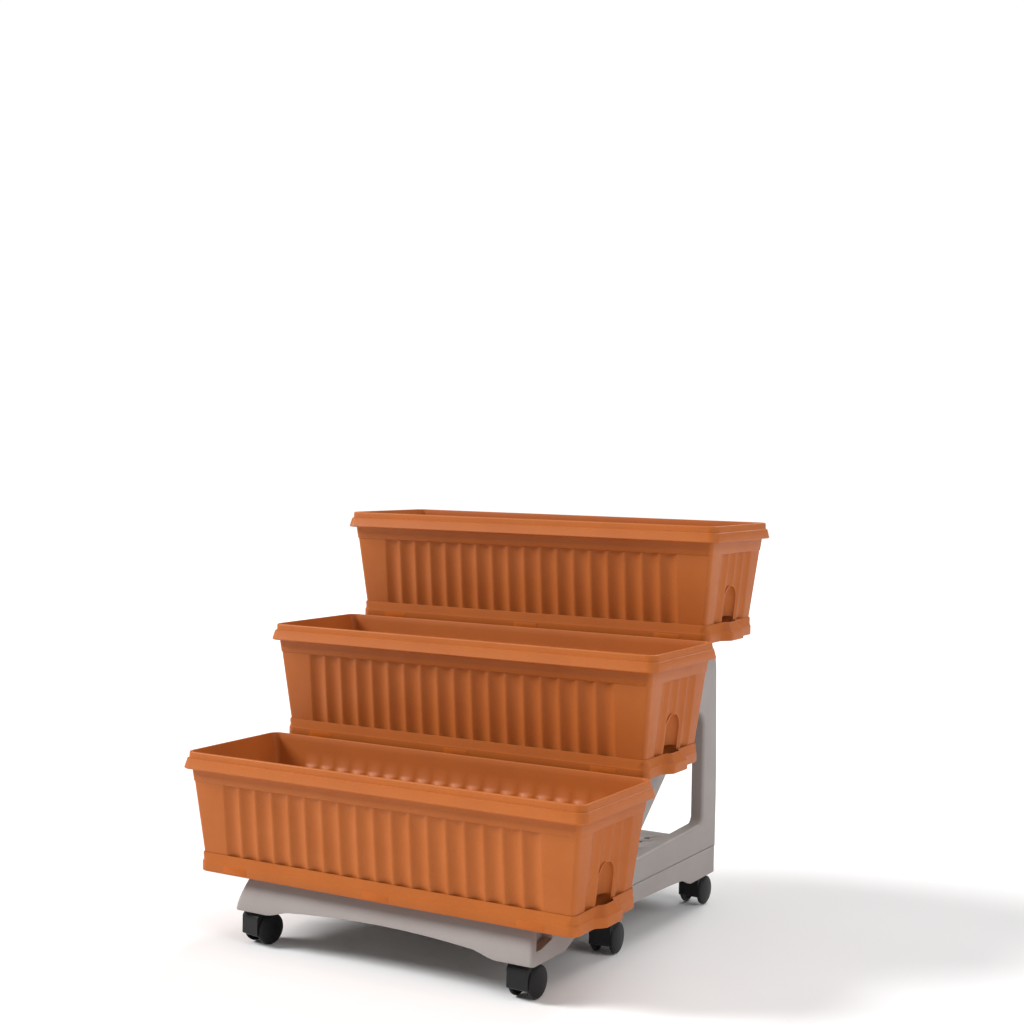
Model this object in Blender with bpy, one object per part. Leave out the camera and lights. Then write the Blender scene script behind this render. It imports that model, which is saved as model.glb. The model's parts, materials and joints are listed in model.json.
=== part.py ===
"""Three tier planter on casters: a moulded stand that carries three long troughs.

Metres, +Z up. The origin is on the floor under the middle of the stand, +X runs
along the troughs and -Y is the front, where the lowest trough is.
"""
import math

import bmesh
import bpy
from mathutils import Matrix, Vector

GAP = 0.0003                    # clearance between pieces that rest on each other
CENTRE_SHIFT_Y = -0.0050        # brings the middle of the overall depth over the origin

# Tiers ----------------------------------------------------------------------
TIER_NAMES = ("lower", "middle", "upper")
TIER_STEP_DEPTH = 0.2455        # each trough stands this far behind the one below
TIER_STEP_HEIGHT = 0.207        # and this much higher
LOWEST_SAUCER_Z = 0.123         # underside of the lowest saucer above the floor

# Trough, measured from the underside of its saucer ----------------------------
TROUGH_HEIGHT = 0.214
RIM_HALF = (0.3995, 0.1275)     # half length and half depth at the rim
RIM_STEP_HALF = (0.4016, 0.1308)
LIP_HALF = (0.4038, 0.1356)
BODY_TOP_HALF = (0.3910, 0.1226)
BODY_LOW_HALF = (0.3750, 0.1066)
RIM_BAND = 0.012                # height of the upper band of the rim
LIP_DEPTH = 0.030               # height of the whole rim
PLAIN_BAND = 0.023              # smooth band between the rim and the flutes
BAND_STEP = 0.0012              # the body steps in by this much under the band
TROUGH_WALL = 0.0060
TROUGH_FLOOR = 0.0035
TROUGH_BASE_Z = 0.0150          # underside of the trough's floor
CORNER_RADIUS = 0.020
CORNER_STEPS = 3
FLUTE_COUNT_LONG = 18
FLUTE_PITCH_LONG = 0.0356
FLUTE_COUNT_END = 4
FLUTE_PITCH_END = 0.0358
FLUTE_RIDGE = 0.0040            # flat left between two flutes
FLUTE_DEPTH = 0.0036
FLUTE_STEPS = 3
NICHE_WIDTH = 0.054             # filling niche in each end
NICHE_TOP = 0.099               # crown of its arch
NICHE_DEPTH = 0.0090
NICHE_WALL = 0.0030
TROUGH_FOOT_RADIUS = 0.010
TROUGH_FEET_X = (-0.30, 0.0, 0.30)
TROUGH_FEET_Y = 0.065
DRAIN_RADIUS = 0.006
TROUGH_DRAINS_X = (-0.23, -0.08, 0.08, 0.23)
TROUGH_DRAINS_Y = 0.045

# Saucer ----------------------------------------------------------------------
SAUCER_HALF = (0.3797, 0.1103)
SAUCER_BAND = 0.0175            # upright band, then a slope up to the trough
SAUCER_TOP = 0.0335
SAUCER_WALL = 0.0020
SAUCER_FLOOR = 0.0028
SAUCER_EDGE = 0.0020            # bottom edge is broken by this much
LOBE_REACH = 0.0145             # the pouring lobe stands out from each end
LOBE_FLAT = 0.024               # half width of its straight front
LOBE_ROOT = 0.048               # half width where it leaves the end
LOBE_STEPS = 4

# Stand -----------------------------------------------------------------------
BASE_HALF_WIDTH = 0.302
BASE_FRONT = -0.3495
BASE_REAR = 0.3835
BASE_RADIUS = 0.014
EDGE_SPACING = 0.048            # points along the arched lower edge
LEDGE_START_Y = -0.292          # the moulding is thicker under the ledges from here back
FOOT_Z = 0.0625                 # lower edge of the skirt at the corners
DECK_Z = LOWEST_SAUCER_Z - GAP
DECK_THICKNESS = 0.0040
SKIRT_WALL = 0.0040
ROLL_INSET = 0.026              # the front leans in by this much at the deck
ROLL_POWER = 1.5
ROLL_FADE = (-0.320, -0.285)    # the lean fades out along the sides here
ROLL_BLEND_X = (0.20, 0.08)     # near the ends the lean also moves the front sideways
ROLL_BLEND_Y = (0.28, 0.06)     # and it moves only the front backwards
SKIRT_LEVELS = (0.026, 0.040, 0.051)   # heights of the skirt's rings above its foot
FRONT_ARCH = (0.235, 0.180, 0.0110, 0.0080)   # outer x, inner x, step, crown
SIDE_ARCH = (-0.2455, 0.2650, 0.0450, 0.0115, 0.0085)  # front, rear, run, step, crown
SEAM_Z = 0.1160                 # the side panels' feet stand on this ledge
PANEL_THICKNESS = 0.0252
PANEL_WALL = 0.0040
PANEL_TOE_Y = -0.286
PANEL_INNER_X = BASE_HALF_WIDTH - PANEL_THICKNESS
SHELF_THICKNESS = 0.0036
SHELF_RIM = 0.018
SHELF_DEPTH = 0.196
SHELF_WALL = 0.0030
SHELF_SIDE_GAP = 0.0008
SHELF_RIM_SETBACK = 0.0040
TOP_SHELF_SHORTER = 0.030       # the top shelf stops short of the panels' round shoulder
TREAD_ROUND = 0.0040
SHOULDER = (0.3630, 0.075)      # rear top corner of a panel and its round
TOP_TREAD_Y = 0.1420            # front end of the top tread
RISER = (0.1340, 0.060, 0.060)  # the riser's bend: y, height above the tread, round
MIDDLE_TREAD_Y = (-0.1050, 0.1180)
FRONT_LEG_Y = -0.1280
FRONT_LEG_ROUND = 0.006
WINDOW_CORNERS = (              # (y, z) and round of each corner, anticlockwise
    ((-0.0200, 0.1570), 0.016),
    ((0.3130, 0.1690), 0.016),
    ((0.3110, 0.3880), 0.030),
    ((0.2600, 0.3850), 0.040),
)
DECK_HOLE_RADIUS = 0.0065
DECK_HOLES_X = (-0.180, 0.180)
DECK_HOLES_Y = (0.2865, 0.3215, 0.1800)

# Casters ---------------------------------------------------------------------
WHEEL_RADIUS = 0.0285
WHEEL_INNER = 0.0098            # distance of each wheel's inner face from the middle
WHEEL_OUTER = 0.0240
WHEEL_RIM_INNER = 0.0160        # the rim is narrower than the hub
WHEEL_RIM_OUTER = 0.0196
WHEEL_HUB_RADIUS = 0.0090
WHEEL_SEGMENTS = 18
AXLE_RADIUS = 0.0030
AXLE_HALF = 0.0202
TRAIL = 0.012                   # the axle runs behind the stem by this much
HOOD_RADIUS = 0.0319
HOOD_POCKET_RADIUS = 0.0297
HOOD_HALF_WIDTH = 0.0200
HOOD_WEB = 0.0090               # half width of the web between the wheels
HOOD_FRONT = 0.0320
HOOD_CUT = -0.0092              # lower edge of the hood under the axle
HOOD_CORNER = 0.0110
HOOD_REAR_RADIUS = 0.0272       # behind the stem only the web is left, inside the wheels' outline
HOOD_REAR_END = 72.0            # degrees above the axle where the cover over the wheels starts
STEM_RADIUS = 0.0055
STEM_LOW = 0.0440
STEM_TOP = 0.1040
STEM_FLANGE_RADIUS = 0.0085
BOSS_RADIUS = 0.0088
BOSS_LOW = 0.0635
BOSS_TOP = 0.1080
GUSSET_REACH = 0.034            # a web runs this far from each socket, towards the middle
GUSSET_HALF = 0.0020
GUSSET_LIFT = 0.012
CASTER_X = 0.270
CASTERS = {                     # stem position along Y and heading in degrees
    "front_right": (1, -0.3220, -3.0),
    "front_left": (-1, -0.3220, -12.0),
    "middle_right": (1, -0.0370, 2.0),
    "middle_left": (-1, -0.0370, 5.0),
    "rear_right": (1, 0.3460, -3.0),
    "rear_left": (-1, 0.3460, 4.0),
}

# Screws ----------------------------------------------------------------------
SCREW_RADIUS = 0.0020
SCREW_HEAD_RADIUS = 0.0042
SCREW_HEAD = 0.0022
SCREW_LENGTH = 0.0120
SCREW_SEGMENTS = 12
SCREW_SINK = 0.0002             # heads lie this far under the surface
COUNTERSINK = 0.0040            # height of the cutter above the surface
SHELF_SCREW_Y = 0.060
BASE_SCREW_YS = (-0.180, 0.240)
SCREW_X = BASE_HALF_WIDTH - PANEL_THICKNESS / 2


# --- materials ---------------------------------------------------------------
def linear(channel):
    """One sRGB channel from 0 to 255 as a linear value."""
    value = channel / 255
    if value <= 0.04045:
        return value / 12.92
    return ((value + 0.055) / 1.055) ** 2.4


def plastic(name, colour, roughness, metallic=0.0):
    """A plain Principled material."""
    material = bpy.data.materials.new(name)
    material.use_nodes = True
    shader = material.node_tree.nodes["Principled BSDF"]
    shader.inputs["Base Color"].default_value = (*[linear(c) for c in colour], 1.0)
    shader.inputs["Roughness"].default_value = roughness
    shader.inputs["Metallic"].default_value = metallic
    return material


# --- mesh helpers --------------------------------------------------------------
def loft(rings):
    """A closed body through rings with the same number of points, capped at both ends."""
    mesh = bmesh.new()
    loops = [[mesh.verts.new(point) for point in ring] for ring in rings]
    count = len(rings[0])
    for lower, upper in zip(loops, loops[1:]):
        for i in range(count):
            j = (i + 1) % count
            mesh.faces.new((lower[i], lower[j], upper[j], upper[i]))
    mesh.faces.new(list(reversed(loops[0])))
    mesh.faces.new(loops[-1])
    bmesh.ops.recalc_face_normals(mesh, faces=mesh.faces)
    return mesh


def turned(profile, segments, axis="Z"):
    """A closed solid of revolution from (radius, height) points that start and end on the axis."""
    mesh = bmesh.new()
    previous = None
    for radius, height in profile:
        if radius == 0:
            ring = [mesh.verts.new((0, 0, height))]
        else:
            ring = []
            for i in range(segments):
                angle = 2 * math.pi * i / segments
                ring.append(mesh.verts.new((radius * math.cos(angle), radius * math.sin(angle), height)))
        if previous:
            for i in range(segments):
                j = (i + 1) % segments
                corners = [previous[i % len(previous)], previous[j % len(previous)],
                           ring[j % len(ring)], ring[i % len(ring)]]
                mesh.faces.new(list(dict.fromkeys(corners)))
        previous = ring
    bmesh.ops.recalc_face_normals(mesh, faces=mesh.faces)
    if axis == "X":
        turn = Matrix.Rotation(math.radians(90), 4, "Y")
        bmesh.ops.transform(mesh, matrix=turn, verts=mesh.verts)
    return mesh


def prism_x(outline, x_low, x_high):
    """An outline of (y, z) points extruded along X."""
    return loft([[(x, y, z) for y, z in outline] for x in (x_low, x_high)])


def cylinder(radius, low, high, segments, centre):
    """An upright cylinder."""
    mesh = turned([(0, low), (radius, low), (radius, high), (0, high)], segments)
    bmesh.ops.translate(mesh, vec=centre, verts=mesh.verts)
    return mesh


def box(low, high):
    """A box between two corners."""
    outline = [(low[1], low[2]), (high[1], low[2]), (high[1], high[2]), (low[1], high[2])]
    return prism_x(outline, low[0], high[0])


def gather(meshes):
    """Several separate bodies in one mesh, for use as a cutter."""
    result = bmesh.new()
    for mesh in meshes:
        offset = {}
        for vertex in mesh.verts:
            offset[vertex] = result.verts.new(vertex.co)
        for face in mesh.faces:
            result.faces.new([offset[v] for v in face.verts])
        mesh.free()
    return result


def to_mesh(name, mesh):
    """A mesh datablock from a bmesh, which is freed."""
    data = bpy.data.meshes.new(name)
    mesh.to_mesh(data)
    mesh.free()
    return data


def carve(name, mesh, steps):
    """Apply (operation, cutter) Booleans in order and return the plain mesh."""
    target = bpy.data.objects.new(name, to_mesh(name, mesh))
    bpy.context.collection.objects.link(target)
    helpers = []
    for index, (operation, cutter_mesh) in enumerate(steps):
        cutter = bpy.data.objects.new(f"{name}_cutter_{index}", to_mesh(f"{name}_cutter", cutter_mesh))
        cutter.hide_render = True
        cutter.display_type = "WIRE"
        bpy.context.collection.objects.link(cutter)
        modifier = target.modifiers.new(f"{operation.lower()}_{index}", "BOOLEAN")
        modifier.operation = operation
        modifier.object = cutter
        helpers.append(cutter)
    graph = bpy.context.evaluated_depsgraph_get()
    result = bpy.data.meshes.new_from_object(target.evaluated_get(graph))
    result.name = f"{name}_mesh"
    for helper in helpers + [target]:
        bpy.data.objects.remove(helper)
    return result


def place(name, data, material, location=(0, 0, 0), heading=0.0, smooth=30.0):
    """One named piece at a place, turned about Z by heading degrees."""
    piece = bpy.data.objects.new(name, data)
    bpy.context.collection.objects.link(piece)
    piece.location = Vector(location) + Vector((0, CENTRE_SHIFT_Y, 0))
    piece.rotation_euler.z = math.radians(heading)
    if not data.materials:
        data.materials.append(material)
    data.shade_smooth()
    data.set_sharp_from_angle(angle=math.radians(smooth))
    return piece


# --- outlines ------------------------------------------------------------------
def corner_arc(centre, radius, start, steps):
    """Points on a quarter circle that starts at an angle in degrees."""
    points = []
    for i in range(steps + 1):
        angle = math.radians(start + 90 * i / steps)
        points.append((centre[0] + radius * math.cos(angle), centre[1] + radius * math.sin(angle)))
    return points


def rounded_rectangle(half, radius, steps):
    """A rectangle about the origin with round corners, anticlockwise from +X -Y."""
    x, y = half[0] - radius, half[1] - radius
    points = corner_arc((x, -y), radius, -90, steps)
    points += corner_arc((x, y), radius, 0, steps)
    points += corner_arc((-x, y), radius, 90, steps)
    points += corner_arc((-x, -y), radius, 180, steps)
    return points


def offset_outline(points, distance):
    """A closed outline moved inwards by a distance; it runs anticlockwise."""
    moved = []
    count = len(points)
    for i in range(count):
        before, here, after = (Vector(points[k % count]) for k in (i - 1, i, i + 1))
        first = (here - before).normalized()
        second = (after - here).normalized()
        normal_first = Vector((-first.y, first.x))
        normal_second = Vector((-second.y, second.x))
        middle = (normal_first + normal_second).normalized()
        moved.append(tuple(here + middle * distance / max(0.4, middle.dot(normal_first))))
    return moved


def smooth_step(value):
    """Ease from 0 to 1."""
    value = min(1.0, max(0.0, value))
    return value * value * (3 - 2 * value)


def fillet(points, radii, steps=4):
    """Round each corner of a closed outline with its own radius."""
    result = []
    count = len(points)
    for i in range(count):
        before, here, after = (Vector(points[k % count]) for k in (i - 1, i, i + 1))
        if radii[i] == 0:
            result.append(tuple(here))
            continue
        back = (before - here).normalized()
        ahead = (after - here).normalized()
        half_angle = back.angle(ahead) / 2
        reach = radii[i] / math.tan(half_angle)
        start, end = here + back * reach, here + ahead * reach
        centre = here + (back + ahead).normalized() * radii[i] / math.sin(half_angle)
        first, last = start - centre, end - centre
        sweep = first.angle_signed(last)
        for k in range(steps + 1):
            turn = Matrix.Rotation(-sweep * k / steps, 2)
            result.append(tuple(centre + turn @ first))
    return result


# --- troughs -------------------------------------------------------------------
def body_half(z):
    """Half length and half depth of the trough's wall at a height."""
    top = TROUGH_HEIGHT - LIP_DEPTH
    share = (top - z) / (top - SAUCER_TOP)
    return tuple(a + (b - a) * share for a, b in zip(BODY_TOP_HALF, BODY_LOW_HALF))


def trough_shell():
    """The trough without its flutes: outer wall, rim and inner wall in one body."""
    lip_z = TROUGH_HEIGHT - LIP_DEPTH
    band_z = lip_z - PLAIN_BAND
    step_z = TROUGH_HEIGHT - RIM_BAND
    floor_z = TROUGH_BASE_Z + TROUGH_FLOOR

    def shrunk(half, amount):
        return (half[0] - amount, half[1] - amount)

    stations = [
        (TROUGH_BASE_Z, shrunk(body_half(TROUGH_BASE_Z), BAND_STEP + 0.002)),
        (TROUGH_BASE_Z + 0.002, shrunk(body_half(TROUGH_BASE_Z), BAND_STEP)),
        (band_z, shrunk(body_half(band_z), BAND_STEP)),
        (band_z, body_half(band_z)),
        (lip_z, BODY_TOP_HALF),
        (lip_z, LIP_HALF),
        (step_z, RIM_STEP_HALF),
        (step_z, RIM_HALF),
        (TROUGH_HEIGHT, shrunk(RIM_HALF, 0.0006)),
        (TROUGH_HEIGHT, shrunk(BODY_TOP_HALF, TROUGH_WALL - 0.003)),
        (lip_z, shrunk(BODY_TOP_HALF, TROUGH_WALL)),
        (floor_z, shrunk(body_half(floor_z), TROUGH_WALL + BAND_STEP)),
    ]
    rings = []
    for z, half in stations:
        outline = rounded_rectangle(half, CORNER_RADIUS, CORNER_STEPS)
        rings.append([(x, y, z) for x, y in outline])
    return loft(rings)


def flute_cutter(offset, side, along_x):
    """One scallop, upright and parallel to the leaning wall."""
    top = TROUGH_HEIGHT - LIP_DEPTH - PLAIN_BAND
    bottom = TROUGH_BASE_Z + 0.006
    pitch = FLUTE_PITCH_LONG if along_x else FLUTE_PITCH_END
    half_width = (pitch - FLUTE_RIDGE) / 2
    rings = []
    for z in (bottom, top):
        wall = body_half(z)[1 if along_x else 0] - BAND_STEP
        section = []
        for i in range(FLUTE_STEPS + 1):
            angle = math.pi * i / FLUTE_STEPS
            section.append((offset - half_width * math.cos(angle), wall - FLUTE_DEPTH * math.sin(angle)))
        section.append((offset + half_width, wall + 0.004))
        section.append((offset - half_width, wall + 0.004))
        if along_x:
            rings.append([(u, side * v, z) for u, v in section])
        else:
            rings.append([(side * v, u, z) for u, v in section])
    return loft(rings)


def flute_cutters():
    """All the scallops of one trough."""
    cutters = []
    for side in (-1, 1):
        for i in range(FLUTE_COUNT_LONG):
            offset = (i - (FLUTE_COUNT_LONG - 1) / 2) * FLUTE_PITCH_LONG
            cutters.append(flute_cutter(offset, side, True))
        for i in range(FLUTE_COUNT_END):
            offset = (i - (FLUTE_COUNT_END - 1) / 2) * FLUTE_PITCH_END
            cutters.append(flute_cutter(offset, side, False))
    return gather(cutters)


def niche_outline(grow, bottom):
    """Arch of the filling niche as (y, z) points."""
    radius = NICHE_WIDTH / 2 + grow
    spring = NICHE_TOP - NICHE_WIDTH / 2
    points = [(-radius, bottom), (radius, bottom)]
    for i in range(9):
        angle = math.pi * i / 8
        points.append((radius * math.cos(angle), spring + radius * math.sin(angle)))
    return points


def niche_body(side, grow, inner, outer, bottom):
    """An arch prism that leans with the end wall, from inner to outer depth."""
    rings = []
    for depth in (inner, outer):
        ring = []
        for y, z in niche_outline(grow, bottom):
            ring.append((side * (body_half(z)[0] - depth), y, z))
        rings.append(ring)
    return loft(rings)


def trough_mesh():
    """Trough with flutes, filling niches, feet and drain holes."""
    bosses = []
    niches = []
    for side in (-1, 1):
        bosses.append(niche_body(side, NICHE_WALL, NICHE_DEPTH + NICHE_WALL, 0.004,
                                 TROUGH_BASE_Z + 0.001))
        niches.append(niche_body(side, 0.0, NICHE_DEPTH, -0.006, TROUGH_BASE_Z + 0.006))
    feet = []
    drains = []
    for y_side in (-1, 1):
        for x in TROUGH_FEET_X:
            feet.append(cylinder(TROUGH_FOOT_RADIUS, SAUCER_FLOOR + GAP, TROUGH_BASE_Z + 0.001, 12,
                                 (x, y_side * TROUGH_FEET_Y, 0)))
        for x in TROUGH_DRAINS_X:
            drains.append(cylinder(DRAIN_RADIUS, 0, TROUGH_BASE_Z + 0.010, 10,
                                   (x, y_side * TROUGH_DRAINS_Y, 0)))
    steps = [("UNION", gather(bosses)), ("UNION", gather(feet)),
             ("DIFFERENCE", flute_cutters()), ("DIFFERENCE", gather(niches)),
             ("DIFFERENCE", gather(drains))]
    return carve("trough", trough_shell(), steps)


def saucer_outline(half, lobe_reach, lobe_trim):
    """Round cornered outline whose two ends swell into pouring lobes."""
    x, y = half[0] - CORNER_RADIUS, half[1] - CORNER_RADIUS
    flat, root = LOBE_FLAT - lobe_trim, LOBE_ROOT - lobe_trim

    def lobe():
        points = []
        for i in range(LOBE_STEPS + 1):
            share = i / LOBE_STEPS
            points.append((half[0] + lobe_reach * smooth_step(share), -(root + (flat - root) * share)))
        return points + [(px, -py) for px, py in reversed(points)]

    right = corner_arc((x, -y), CORNER_RADIUS, -90, CORNER_STEPS)
    right += lobe()
    right += corner_arc((x, y), CORNER_RADIUS, 0, CORNER_STEPS)
    return right + [(-px, -py) for px, py in right]


def saucer_mesh():
    """Clip-on water tray: upright band, slope up to the trough, and a lobe at each end."""
    stations = [
        (0.0, SAUCER_EDGE),
        (SAUCER_EDGE, 0.0),
        (SAUCER_BAND, 0.0),
    ]
    rings = []
    for z, inset in stations:
        half = (SAUCER_HALF[0] - inset, SAUCER_HALF[1] - inset)
        rings.append([(x, y, z) for x, y in saucer_outline(half, LOBE_REACH, inset)])
    top_half = (body_half(SAUCER_TOP)[0] + 0.0024, body_half(SAUCER_TOP)[1] + 0.0024)
    top = saucer_outline(top_half, LOBE_REACH, 0.003)
    rings.append([(x, y, SAUCER_TOP) for x, y in top])
    inner_top = (top_half[0] - 0.0020, top_half[1] - 0.0020)
    rings.append([(x, y, SAUCER_TOP) for x, y in saucer_outline(inner_top, LOBE_REACH, 0.005)])
    inner_low = (SAUCER_HALF[0] - SAUCER_WALL, SAUCER_HALF[1] - SAUCER_WALL)
    inner = saucer_outline(inner_low, LOBE_REACH, SAUCER_WALL)
    rings.append([(x, y, SAUCER_BAND - 0.001) for x, y in inner])
    rings.append([(x, y, SAUCER_FLOOR) for x, y in inner])
    return to_mesh("saucer_mesh", loft(rings))


# --- stand ---------------------------------------------------------------------
def skirt_foot(x, y):
    """Lower edge of the skirt: feet at the corners and middle, shallow arches between."""
    if y < BASE_FRONT + BASE_RADIUS:
        outer, inner, step, crown = FRONT_ARCH
        rise = step * smooth_step((outer - abs(x)) / (outer - inner))
        return FOOT_Z + rise + crown * max(0.0, 1 - (x / inner) ** 2)
    if abs(x) > BASE_HALF_WIDTH - BASE_RADIUS:
        front, rear, run, step, crown = SIDE_ARCH
        rise = step * smooth_step((y - front) / run) * smooth_step((rear - y) / run)
        middle = (front + rear) / 2
        span = (rear - front) / 2
        return FOOT_Z + rise + crown * max(0.0, 1 - ((y - middle) / span) ** 2)
    return FOOT_Z


def roll_inset(y, z):
    """How far the front and the front of the sides lean in at a height."""
    rise = min(1.0, max(0.0, (z - FOOT_Z) / (DECK_Z - FOOT_Z)))
    fade = 1 - smooth_step((y - ROLL_FADE[0]) / (ROLL_FADE[1] - ROLL_FADE[0]))
    return ROLL_INSET * rise ** ROLL_POWER * fade


def base_outline():
    """Plan of the base with extra points along the arched edges."""
    middle = (BASE_FRONT + BASE_REAR) / 2
    half = (BASE_HALF_WIDTH, (BASE_REAR - BASE_FRONT) / 2)
    corners = rounded_rectangle(half, BASE_RADIUS, 3)
    points = []
    count = len(corners)
    for i in range(count):
        here, after = Vector(corners[i]), Vector(corners[(i + 1) % count])
        length = (after - here).length
        parts = max(1, round(length / EDGE_SPACING))
        for k in range(parts):
            points.append(tuple(here.lerp(after, k / parts) + Vector((0, middle))))
    return points


def base_ring(outline, z, wall=0.0, foot=False):
    """One ring of the skirt at a height, or along its lower edge."""
    inner = offset_outline(outline, wall) if wall else outline
    ring = []
    for (x, y), (x_outer, y_outer) in zip(inner, outline):
        height = max(z, skirt_foot(x_outer, y_outer)) if foot else z
        inset = roll_inset(y_outer, height)
        x_shift = -math.copysign(inset, x) * smooth_step((abs(x) - ROLL_BLEND_X[0]) / ROLL_BLEND_X[1])
        y_shift = inset * smooth_step((-y_outer - ROLL_BLEND_Y[0]) / ROLL_BLEND_Y[1])
        ring.append((x + x_shift, y + y_shift, height))
    return ring


def caster_boss(sign, y):
    """Socket for a caster stem with a gusset up to the deck."""
    x = sign * CASTER_X
    boss = cylinder(BOSS_RADIUS, BOSS_LOW, BOSS_TOP, 12, (x, y, 0))
    reach = -GUSSET_REACH if y > BASE_REAR / 2 else GUSSET_REACH
    low = (x - GUSSET_HALF, min(y, y + reach), FOOT_Z + GUSSET_LIFT)
    high = (x + GUSSET_HALF, max(y, y + reach), DECK_Z - DECK_THICKNESS + 0.001)
    return boss, box(low, high)


def base_mesh():
    """Deck and skirt in one moulding, with caster sockets, ledges and holes."""
    outline = base_outline()
    deck_under = DECK_Z - DECK_THICKNESS
    levels = [FOOT_Z + height for height in SKIRT_LEVELS]
    shell = [base_ring(outline, DECK_Z)]
    shell += [base_ring(outline, z) for z in reversed(levels)]
    shell += [base_ring(outline, FOOT_Z, foot=True)]
    inner = [base_ring(outline, FOOT_Z, wall=SKIRT_WALL, foot=True)]
    inner += [base_ring(outline, z, wall=SKIRT_WALL) for z in levels]
    inner += [base_ring(outline, deck_under, wall=SKIRT_WALL)]
    mesh = loft(shell + inner)
    bosses = []
    gussets = []
    bores = []
    for sign, y, _ in CASTERS.values():
        boss, gusset = caster_boss(sign, y)
        bosses.append(boss)
        gussets.append(gusset)
        bores.append(cylinder(STEM_RADIUS + GAP, 0.05, STEM_TOP + GAP, 12, (sign * CASTER_X, y, 0)))
    holes = []
    for x in DECK_HOLES_X:
        for y in DECK_HOLES_Y:
            holes.append(cylinder(DECK_HOLE_RADIUS, deck_under - 0.01, DECK_Z + 0.01, 12, (x, y, 0)))
    for sign in (-1, 1):
        for y in BASE_SCREW_YS:
            holes.append(cylinder(SCREW_RADIUS + GAP, deck_under - 0.01, DECK_Z + 0.01, SCREW_SEGMENTS,
                                  (sign * SCREW_X, y, 0)))
    ledges = []
    for sign in (-1, 1):
        inner_x, outer_x = sign * (PANEL_INNER_X - GAP), sign * (BASE_HALF_WIDTH + 0.02)
        low = (min(inner_x, outer_x), PANEL_TOE_Y - GAP, SEAM_Z)
        high = (max(inner_x, outer_x), BASE_REAR + 0.02, DECK_Z + 0.01)
        ledges.append(box(low, high))
    thick = []
    for sign in (-1, 1):
        inner_x, outer_x = sign * (PANEL_INNER_X - 0.004), sign * (BASE_HALF_WIDTH - 0.003)
        low = (min(inner_x, outer_x), LEDGE_START_Y, SEAM_Z - DECK_THICKNESS)
        high = (max(inner_x, outer_x), BASE_REAR - 0.002, SEAM_Z + 0.003)
        thick.append(box(low, high))
    steps = [("UNION", gather(bosses)), ("UNION", gather(gussets)), ("UNION", gather(thick)),
             ("DIFFERENCE", gather(ledges)), ("DIFFERENCE", gather(bores)), ("DIFFERENCE", gather(holes))]
    return carve("base_tray", mesh, steps)


def tread_z(tier):
    """Top of the panel's tread under a shelf."""
    return LOWEST_SAUCER_Z + tier * TIER_STEP_HEIGHT - 2 * GAP - SHELF_THICKNESS


def stair_outline(toe, inset=0.0):
    """Stair shaped outline of a side panel as (y, z), anticlockwise, with or without its toe."""
    middle_tread, top_tread = tread_z(1), tread_z(2)
    corners = [
        ((BASE_REAR, SEAM_Z + GAP), 0.0),
        ((SHOULDER[0], top_tread), SHOULDER[1]),
        ((TOP_TREAD_Y, top_tread), TREAD_ROUND),
        ((RISER[0], middle_tread + RISER[1]), RISER[2]),
        ((MIDDLE_TREAD_Y[1], middle_tread), TREAD_ROUND),
        ((MIDDLE_TREAD_Y[0], middle_tread), TREAD_ROUND),
    ]
    if toe:
        corners += [((FRONT_LEG_Y, DECK_Z), FRONT_LEG_ROUND), ((PANEL_TOE_Y, DECK_Z), 0.0),
                    ((PANEL_TOE_Y, SEAM_Z + GAP), 0.0)]
    else:
        corners += [((FRONT_LEG_Y, SEAM_Z + GAP), 0.0)]
    points = [point for point, _ in corners]
    if inset:
        points = offset_outline(points, inset)
    return fillet(points, [radius for _, radius in corners])


def window_outline():
    """Three sided opening under the stairs as (y, z), anticlockwise."""
    return fillet([corner for corner, _ in WINDOW_CORNERS], [radius for _, radius in WINDOW_CORNERS])


def panel_mesh():
    """Right hand side panel: hollow on its inner side, with a window."""
    window = window_outline()
    body = prism_x(stair_outline(True), PANEL_INNER_X, BASE_HALF_WIDTH)
    pocket = prism_x(stair_outline(False, PANEL_WALL), PANEL_INNER_X - 0.01,
                     BASE_HALF_WIDTH - PANEL_WALL)
    collar = prism_x(offset_outline(window, -PANEL_WALL), PANEL_INNER_X, BASE_HALF_WIDTH - 0.001)
    opening = prism_x(window, PANEL_INNER_X - 0.02, BASE_HALF_WIDTH + 0.02)
    holes = []
    for y in BASE_SCREW_YS:
        holes.append(cylinder(SCREW_RADIUS + GAP, SEAM_Z - 0.01, SEAM_Z + 0.010, SCREW_SEGMENTS,
                              (SCREW_X, y, 0)))
    for tier in (1, 2):
        for y in shelf_screw_ys(tier):
            holes.append(cylinder(SCREW_RADIUS + GAP, tread_z(tier) - 0.010, tread_z(tier) + 0.010,
                                  SCREW_SEGMENTS, (SCREW_X, y, 0)))
    steps = [("DIFFERENCE", pocket), ("UNION", collar), ("DIFFERENCE", opening),
             ("DIFFERENCE", gather(holes))]
    return carve("side_panel", body, steps)


def mirrored(data):
    """The same mesh mirrored in X, with its faces still pointing out."""
    mesh = bmesh.new()
    mesh.from_mesh(data)
    bmesh.ops.scale(mesh, vec=(-1, 1, 1), verts=mesh.verts)
    bmesh.ops.reverse_faces(mesh, faces=mesh.faces)
    return to_mesh(f"{data.name}_mirrored", mesh)


def shelf_span(tier):
    """Front and rear edge of a shelf."""
    middle = (tier - 1) * TIER_STEP_DEPTH
    front = middle - SHELF_DEPTH / 2
    rear = middle + SHELF_DEPTH / 2 - (TOP_SHELF_SHORTER if tier == 2 else 0.0)
    return front, rear


def shelf_screw_ys(tier):
    """Where the two screws at each end of a shelf go."""
    front, rear = shelf_span(tier)
    middle = (front + rear) / 2
    return middle - SHELF_SCREW_Y, middle + SHELF_SCREW_Y


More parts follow.
